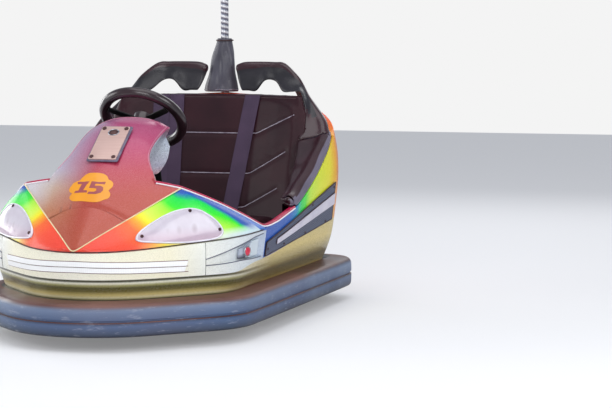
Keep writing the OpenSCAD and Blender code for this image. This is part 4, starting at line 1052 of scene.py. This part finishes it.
front = skin_of(backrest)
for i, line in enumerate(chevrons):
    half = []
    for (x0, z0), (x1, z1) in zip(line, line[1:]):
        half += [(x0 + (x1 - x0) * k / 5, z0 + (z1 - z0) * k / 5) for k in range(5)]
    half.append(line[-1])
    whole = [(-px, pz) for px, pz in reversed(half[1:])] + half
    tube("backrest_piping_%d" % (i + 1), on_front(front, whole, 0.0008), 0.0023, piping_grey)
steps = [k * 0.0195 for k in range(-20, 21)]
tube("backrest_top_piping", on_front(front, [(px, 0.876) for px in steps], 0.001), 0.0028, seam_black)
nose_line = on_front(skin_of(cushion), [(px, 0.372) for px in steps], 0.001)
tube("cushion_piping", nose_line, 0.003, piping_grey)

# Pads: dark red-brown padded rolls on the sides and the grab arches behind the riders' shoulders,
# vinyl over a bent tube. Their outer lower band is grey where it meets the paint. The arches' webs
# under the rolls take a near-black copy of the vinyl as painted shade.
pad_vinyl = vinyl("pad_vinyl", "260c16", "3e1c27", 0.36, 0.3)[0]
shaded_web_vinyl = vinyl("shaded_web_vinyl", "17151b", "2a2630", 0.42, 0.1)[0]
band_grey = vinyl("band_grey", "5d5668", "7c7488", 0.45, 0.15)[0]
# Roll's middle, its radius and the web's tip, in millimetres, from the arm pad's front to the boot
pad_rows = [(519, 96, 484, 22, 487, 96, 495), (519, 104, 486, 27, 486, 104, 498), (521, 160, 504, 27, 482, 158, 516),
            (526, 240, 542, 27, 475, 236, 543), (529, 330, 585, 27, 463, 305, 582), (528, 420, 634, 27, 450, 380, 611),
            (527, 500, 680, 27, 438, 446, 658), (520, 560, 715, 27, 424, 506, 705), (502, 600, 762, 25, 426, 544, 742),
            (482, 622, 786, 26, 426, 576, 786), (444, 646, 827, 25, 422, 600, 836), (404, 663, 873, 24, 414, 606, 880),
            (372, 682, 920, 24, 400, 612, 906), (342, 702, 959, 24, 352, 632, 902), (294, 724, 1000, 24, 306, 652, 902),
            (250, 731, 1006, 22, 262, 690, 944), (200, 733, 1007, 22, 214, 692, 948),
            (150, 733, 1007, 22, 172, 696, 902), (108, 733, 1005, 22, 134, 700, 902), (78, 733, 996, 21, 104, 702, 902)]
seam_row = 7


def between(rows, place):
    """A row of the table between two of its rows, on a smooth curve."""
    i = min(int(place), len(rows) - 2)
    t = place - i
    four = [rows[max(0, min(len(rows) - 1, i + k))] for k in (-1, 0, 1, 2)]
    weights = (-0.5 * t + t * t - 0.5 * t ** 3, 1 - 2.5 * t * t + 1.5 * t ** 3, 0.5 * t + 2 * t * t - 1.5 * t ** 3,
               -0.5 * t * t + 0.5 * t ** 3)
    return [sum(w * row[k] for w, row in zip(weights, four)) / 1000 for k in range(7)]


def section(place, shift=0.0, scale=1.0):
    """One ring of the padded rim: the roll, open where the web leaves it, and the web, hollowed on
    both sides down to its tip. It can be shifted along the rim and scaled, to round off an end."""
    row = between(pad_rows, place)
    before = between(pad_rows, max(0, place - 0.05))
    after = between(pad_rows, min(len(pad_rows) - 1, place + 0.05))
    run = (Vector(after[:3]) - Vector(before[:3])).normalized()
    middle = Vector(row[:3]) + run * shift * row[3]
    radius = row[3] * scale
    tip = Vector(row[:3]).lerp(Vector(row[4:]), scale) + run * shift * row[3]
    web = tip - middle
    along_web = (web if web.length > 0.001 else Vector(row[4:]) - Vector(row[:3])).normalized()
    beside = run.cross(along_web).normalized()
    ring = []
    for k in range(15):
        turn = math.radians(52 + 256 * k / 14)
        ring.append(middle + (along_web * math.cos(turn) + beside * math.sin(turn)) * radius)
    root = middle + along_web * radius * 0.62
    taper = ((0.14, 0.52), (0.34, 0.34), (0.62, 0.25), (1.0, 0.2))
    for hand, profile in ((-1, taper), (1, taper[::-1])):
        ring += [root.lerp(tip, f) + beside * (hand * radius * half) for f, half in profile]
    return ring


def lofted(name, rings):
    """A skin through rings of points, closed at both ends."""
    n, m = len(rings), len(rings[0])
    faces = [[i * m + j, (i + 1) * m + j, (i + 1) * m + (j + 1) % m, i * m + (j + 1) % m]
             for i in range(n - 1) for j in range(m)]
    faces += [list(range(m)), list(range((n - 1) * m, n * m))[::-1]]
    mesh = bpy.data.meshes.new(name)
    mesh.from_pydata([spot for ring in rings for spot in ring], [], faces)
    return placed(name, mesh)


def rim_cover(name, first, last, paints, node, start_cap, end_cap):
    """A padded length of the rim, from one row of the table to another, closed at its ends."""
    rings = []
    if start_cap:
        rings += [section(first, -0.55, 0.25), section(first, -0.45, 0.62), section(first, -0.25, 0.88)]
    count = int((last - first) * 5)
    rings += [section(first + (last - first) * k / count) for k in range(count + 1)]
    if end_cap:
        rings += [section(last, 0.2, 0.9), section(last, 0.4, 0.68), section(last, 0.55, 0.3)]
    piece = lofted(name, rings)
    cleaned()
    dress(piece, name, paints, "car")
    n, m = len(rings), len(rings[0])
    for i, face in enumerate(piece.data.polygons):
        side_on = face.normal.x > 0.30 and face.normal.z < 0.42 and face.center.y < 0.56
        # Arch web faces, under the rolls, take the near-black vinyl: painted shade
        on_web = i < (n - 1) * m and i % m >= 14 and face.center.y > 0.60
        face.material_index = 2 if side_on else int(on_web)
    shaped(piece, "SUBSURF", levels=1, render_levels=1)
    bpy.ops.object.shade_smooth()
    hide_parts(node)
    return piece


paints = [pad_vinyl, shaded_web_vinyl, band_grey]
arm = rim_cover("arm_pad_left_cover", 0, seam_row - 0.01, paints, "arm_pad_left", True, False)
arch = rim_cover("grab_arch_left_cover", seam_row + 0.01, len(pad_rows) - 1, paints, "grab_arch_left", False, True)
mirrored_copy(arm, "arm_pad_right_cover", "arm_pad_right")
mirrored_copy(arch, "grab_arch_right_cover", "grab_arch_right")
for side, s in both:
    tube("pad_seam_" + side, sided(section(seam_row), s), 0.0016, seam_black, closed=True)
# Grey padded band from the arm pad's roll down to the top of the painted side
# Its last place is drawn in to meet the tail
skirt_rows = [on_flank(y, level_at(side_top, y)) for y in (0.096, 0.160, 0.240, 0.330, 0.420, 0.500, 0.560)]
skirt_rows.append((0.5440, 0.6000, 0.7180))
skirt = []
for q in skirt_rows:
    low, high = Vector(q) + Vector((-0.002, 0, 0.0005)), Vector(q) + Vector((-0.013, -0.004, 0.040))
    skirt.append([low.lerp(high, f) + Vector((0.006, 0, 0)) * math.sin(math.pi * f) for f in (0, 0.2, 0.4, 0.6, 0.8, 1)]
                 + [high + Vector((-0.014, 0, -0.004)), low + Vector((-0.010, 0, 0.004))])
side_band = lofted("side_band_left", skirt)
shaped(side_band, "SUBSURF", levels=2, render_levels=2)
dress(settle(side_band, Matrix(), 60), "side_band_left", band_grey, "car")
mirrored_copy(side_band, "side_band_right")

# Belts: three dark woven straps that hang over the backrest's face to the cushion
webbing, tree, shader = material("webbing", "4b3d58", 0.8)
coords, x, _, z = places(tree)
over = sums("PINGPONG", sums("ADD", x, 1.0), 0.0012)
under = sums("PINGPONG", sums("ADD", z, 1.0), 0.0018)
weave = sums("MULTIPLY", span(over, 0, 0.0012), span(under, 0, 0.0018))
marks = use(tree, scuffs, Vector=coords, Scale=10.0)
colour = blend_colours(weave, tone("3a2840"), tone("624c68"))
dirt = sums("MULTIPLY", marks.outputs["Blotches"], 0.3)
feed(shader, "Base Color", blend_colours(dirt, colour, tone("241c30")))
bumped(shader, weave, 0.0008, 0.6)
belts = from_node("lap_belts", webbing, 2)
bare_back = merged_copy("backrest")
flat_face = skin_of(bare_back)
bpy.data.objects.remove(bare_back)
# Each strap's middle x at its foot and at its top. In the photo the straps are wider and more
# upright than the solids', and they lie on the padded face, not on the solid's flat one.
straps = [(0.101, 0.203), (-0.154, -0.158), (-0.217, -0.224)]
strap_foot, strap_height = 0.444, 0.440
for vertex in belts.data.vertices:
    x, y, z = vertex.co
    share = (z - strap_foot) / strap_height
    low, high = min(straps, key=lambda strap: abs(x - (strap[0] + (strap[1] - strap[0]) * share)))
    middle = low + (high - low) * share
    straighter = 0.028 - 0.058 * share if high > 0 else 0.009 - 0.026 * share
    wider = middle + (x - middle) * (1.2 if high > 0 else 1.1) + straighter
    level = max(0.45, min(0.862, z))
    plain_face = flat_face.ray_cast(Vector((x, -0.5, level)), Vector((0, 1, 0)))[0]
    padded_face = front.ray_cast(Vector((wider, -0.5, level)), Vector((0, 1, 0)))[0]
    if padded_face and plain_face:
        vertex.co = (wider, padded_face.y - (plain_face.y - y) - 0.0012, z)

# Pole: a steel rod wound with a coil, standing in a leatherette boot on the tail, with the brass contact
# shoe against the ceiling net. The coil is only painted and bumped on the rod: bands of painted highlight
# and painted shade run along a helix.
pole_y = 0.770
spiral, tree, shader = material("spiral", "aca7b1", 0.3, 0.5)
_, x, y, z = places(tree)
angle = sums("ARCTAN2", sums("SUBTRACT", y, pole_y), x)
turns = sums("ADD", sums("DIVIDE", z, 0.022), sums("DIVIDE", angle, 2 * math.pi))
phase = sums("FRACT", turns)
# Painted highlight and shade: each turn of the helix has a bright band and a dark band
glints = ramp(phase, [(0, "6a6470"), (0.12, "8e8894"), (0.3, "f2f1f4"), (0.52, "e8e6ea"), (0.66, "9aa0ac"),
                      (0.82, "6d7080"), (1, "6a6470")])
feed(shader, "Base Color", glints)
lump = ramp(phase, [(0, "000000"), (0.35, "ffffff"), (0.6, "ffffff"), (1, "000000")])
bumped(shader, lump, 0.0015)
from_node("pole", spiral, 0)
brass = blotched("brass", "9a7a45", 0.4, 20.0, "8a6a3a", "c9a865", mask="Rubs", metallic=0.8)[0]
from_node("contact_head", brass, 0)
leatherette = vinyl("leatherette", "3f3d48", "5a5866", 0.5, 0.1, 0.002)[0]
boot_foot, boot_height = 0.893, 0.237
boot = stuffed("pole_boot", leatherette, 0.004, 0, 0, lambda spot, out: True)
for vertex in boot.data.vertices:
    spot = vertex.co
    turn = math.atan2(spot.y - pole_y, spot.x)
    up_share = (spot.z - boot_foot) / boot_height
    fold = math.sin(2.0 * turn - 9.0 * up_share + 1.2) + 0.5 * math.sin(5.0 * turn + 6.0 * up_share)
    depth = 0.0032 * math.sin(math.pi * min(1.0, max(0.0, up_share))) * fold
    hem = 0.002 * math.sin(7 * turn) * max(0.0, 1 - up_share * 6)
    radial = Vector((spot.x, spot.y - pole_y, 0))
    if radial.length > 0.024:
        outward = radial.normalized()
        leaning = max(0.0, outward.dot(Vector((-0.94, 0.34, 0))))
        flare = 0.027 * leaning * min(1.0, max(0.0, 1.12 - up_share * 1.1))
        vertex.co += outward * (depth + hem - 0.0012 + flare)
hem_light = blotched("hem_light", "8f8c9a", 0.5, 60.0, "9a97a6", "6d6a78")[0]
ring = [(-0.006 + (0.0665 + 0.0235 * max(0.0, -math.cos(a))) * math.cos(a), pole_y + 0.0472 * math.sin(a),
         0.9045 + 0.0018 * math.sin(7 * a)) for a in (math.tau * k / 40 for k in range(40))]
tube("boot_hem", ring, 0.0016, hem_light, closed=True)
neck_radius = 0.0352
ring = [(neck_radius * math.cos(a), pole_y + neck_radius * math.sin(a), 1.119)
        for a in (math.tau * k / 32 for k in range(32))]
tube("boot_band", ring, 0.0034, seam_black, closed=True)

# Steering: a thick moulded grip on a ring, three pressed spokes and a dished hub on the column
from_node("steering_column", black_steel, 0)
grip, tree, shader, coords, _ = blotched("grip", "1c191e", 0.28, 9.0, "1e1116", "3f222b", 0.6, coat=0.5)
bumped(shader, use(tree, grain, Vector=coords, Scale=700.0).outputs[0], 0.0006)
wheel_place = Matrix.Translation((0, -0.175, 0.83)) @ Matrix.Rotation(math.radians(-43), 4, "X")
wheel_radius, seam_radius = 0.16, 0.1445
bpy.ops.mesh.primitive_torus_add(major_radius=wheel_radius, minor_radius=0.021, major_segments=96, minor_segments=24)
hoop = dress(settle(bpy.context.object, wheel_place), "steering_grip", grip, "steering")
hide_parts("steering_wheel")
loop = [tuple(wheel_place @ Vector((seam_radius * math.cos(a), seam_radius * math.sin(a), 0.0138)))
        for a in (math.tau * k / 64 for k in range(64))]
tube("steering_seam", loop, 0.0013, piping_grey, "steering", closed=True)
for i, turn in enumerate((90, 210, 330)):
    slab("steering_spoke_%d" % (i + 1), (0.122, 0.028, 0.007), (0.084, 0, -0.016), 0.006, 0.0018, black_steel,
         wheel_place @ Matrix.Rotation(math.radians(turn), 4, "Z"), "steering")
bpy.ops.mesh.primitive_cylinder_add(radius=0.04, depth=0.045, vertices=64)
hub = bpy.context.object
hub.data.transform(Matrix.Translation((0, 0, -0.0175)))
dished(hub, ((0.007, -0.005), (0.012, 0.003)))
shaped(hub, "BEVEL", width=0.002, segments=3, limit_method="ANGLE")
dress(settle(hub, wheel_place), "steering_hub", grip, "steering")
bpy.ops.mesh.primitive_cylinder_add(radius=0.018, depth=0.300, vertices=48)
shaft = bpy.context.object
shaft.data.transform(Matrix.Translation((0, 0, -0.175)))
shaped(shaft, "BEVEL", width=0.002, segments=2, limit_method="ANGLE")
dress(settle(shaft, wheel_place), "steering_shaft", grey_steel, "steering")
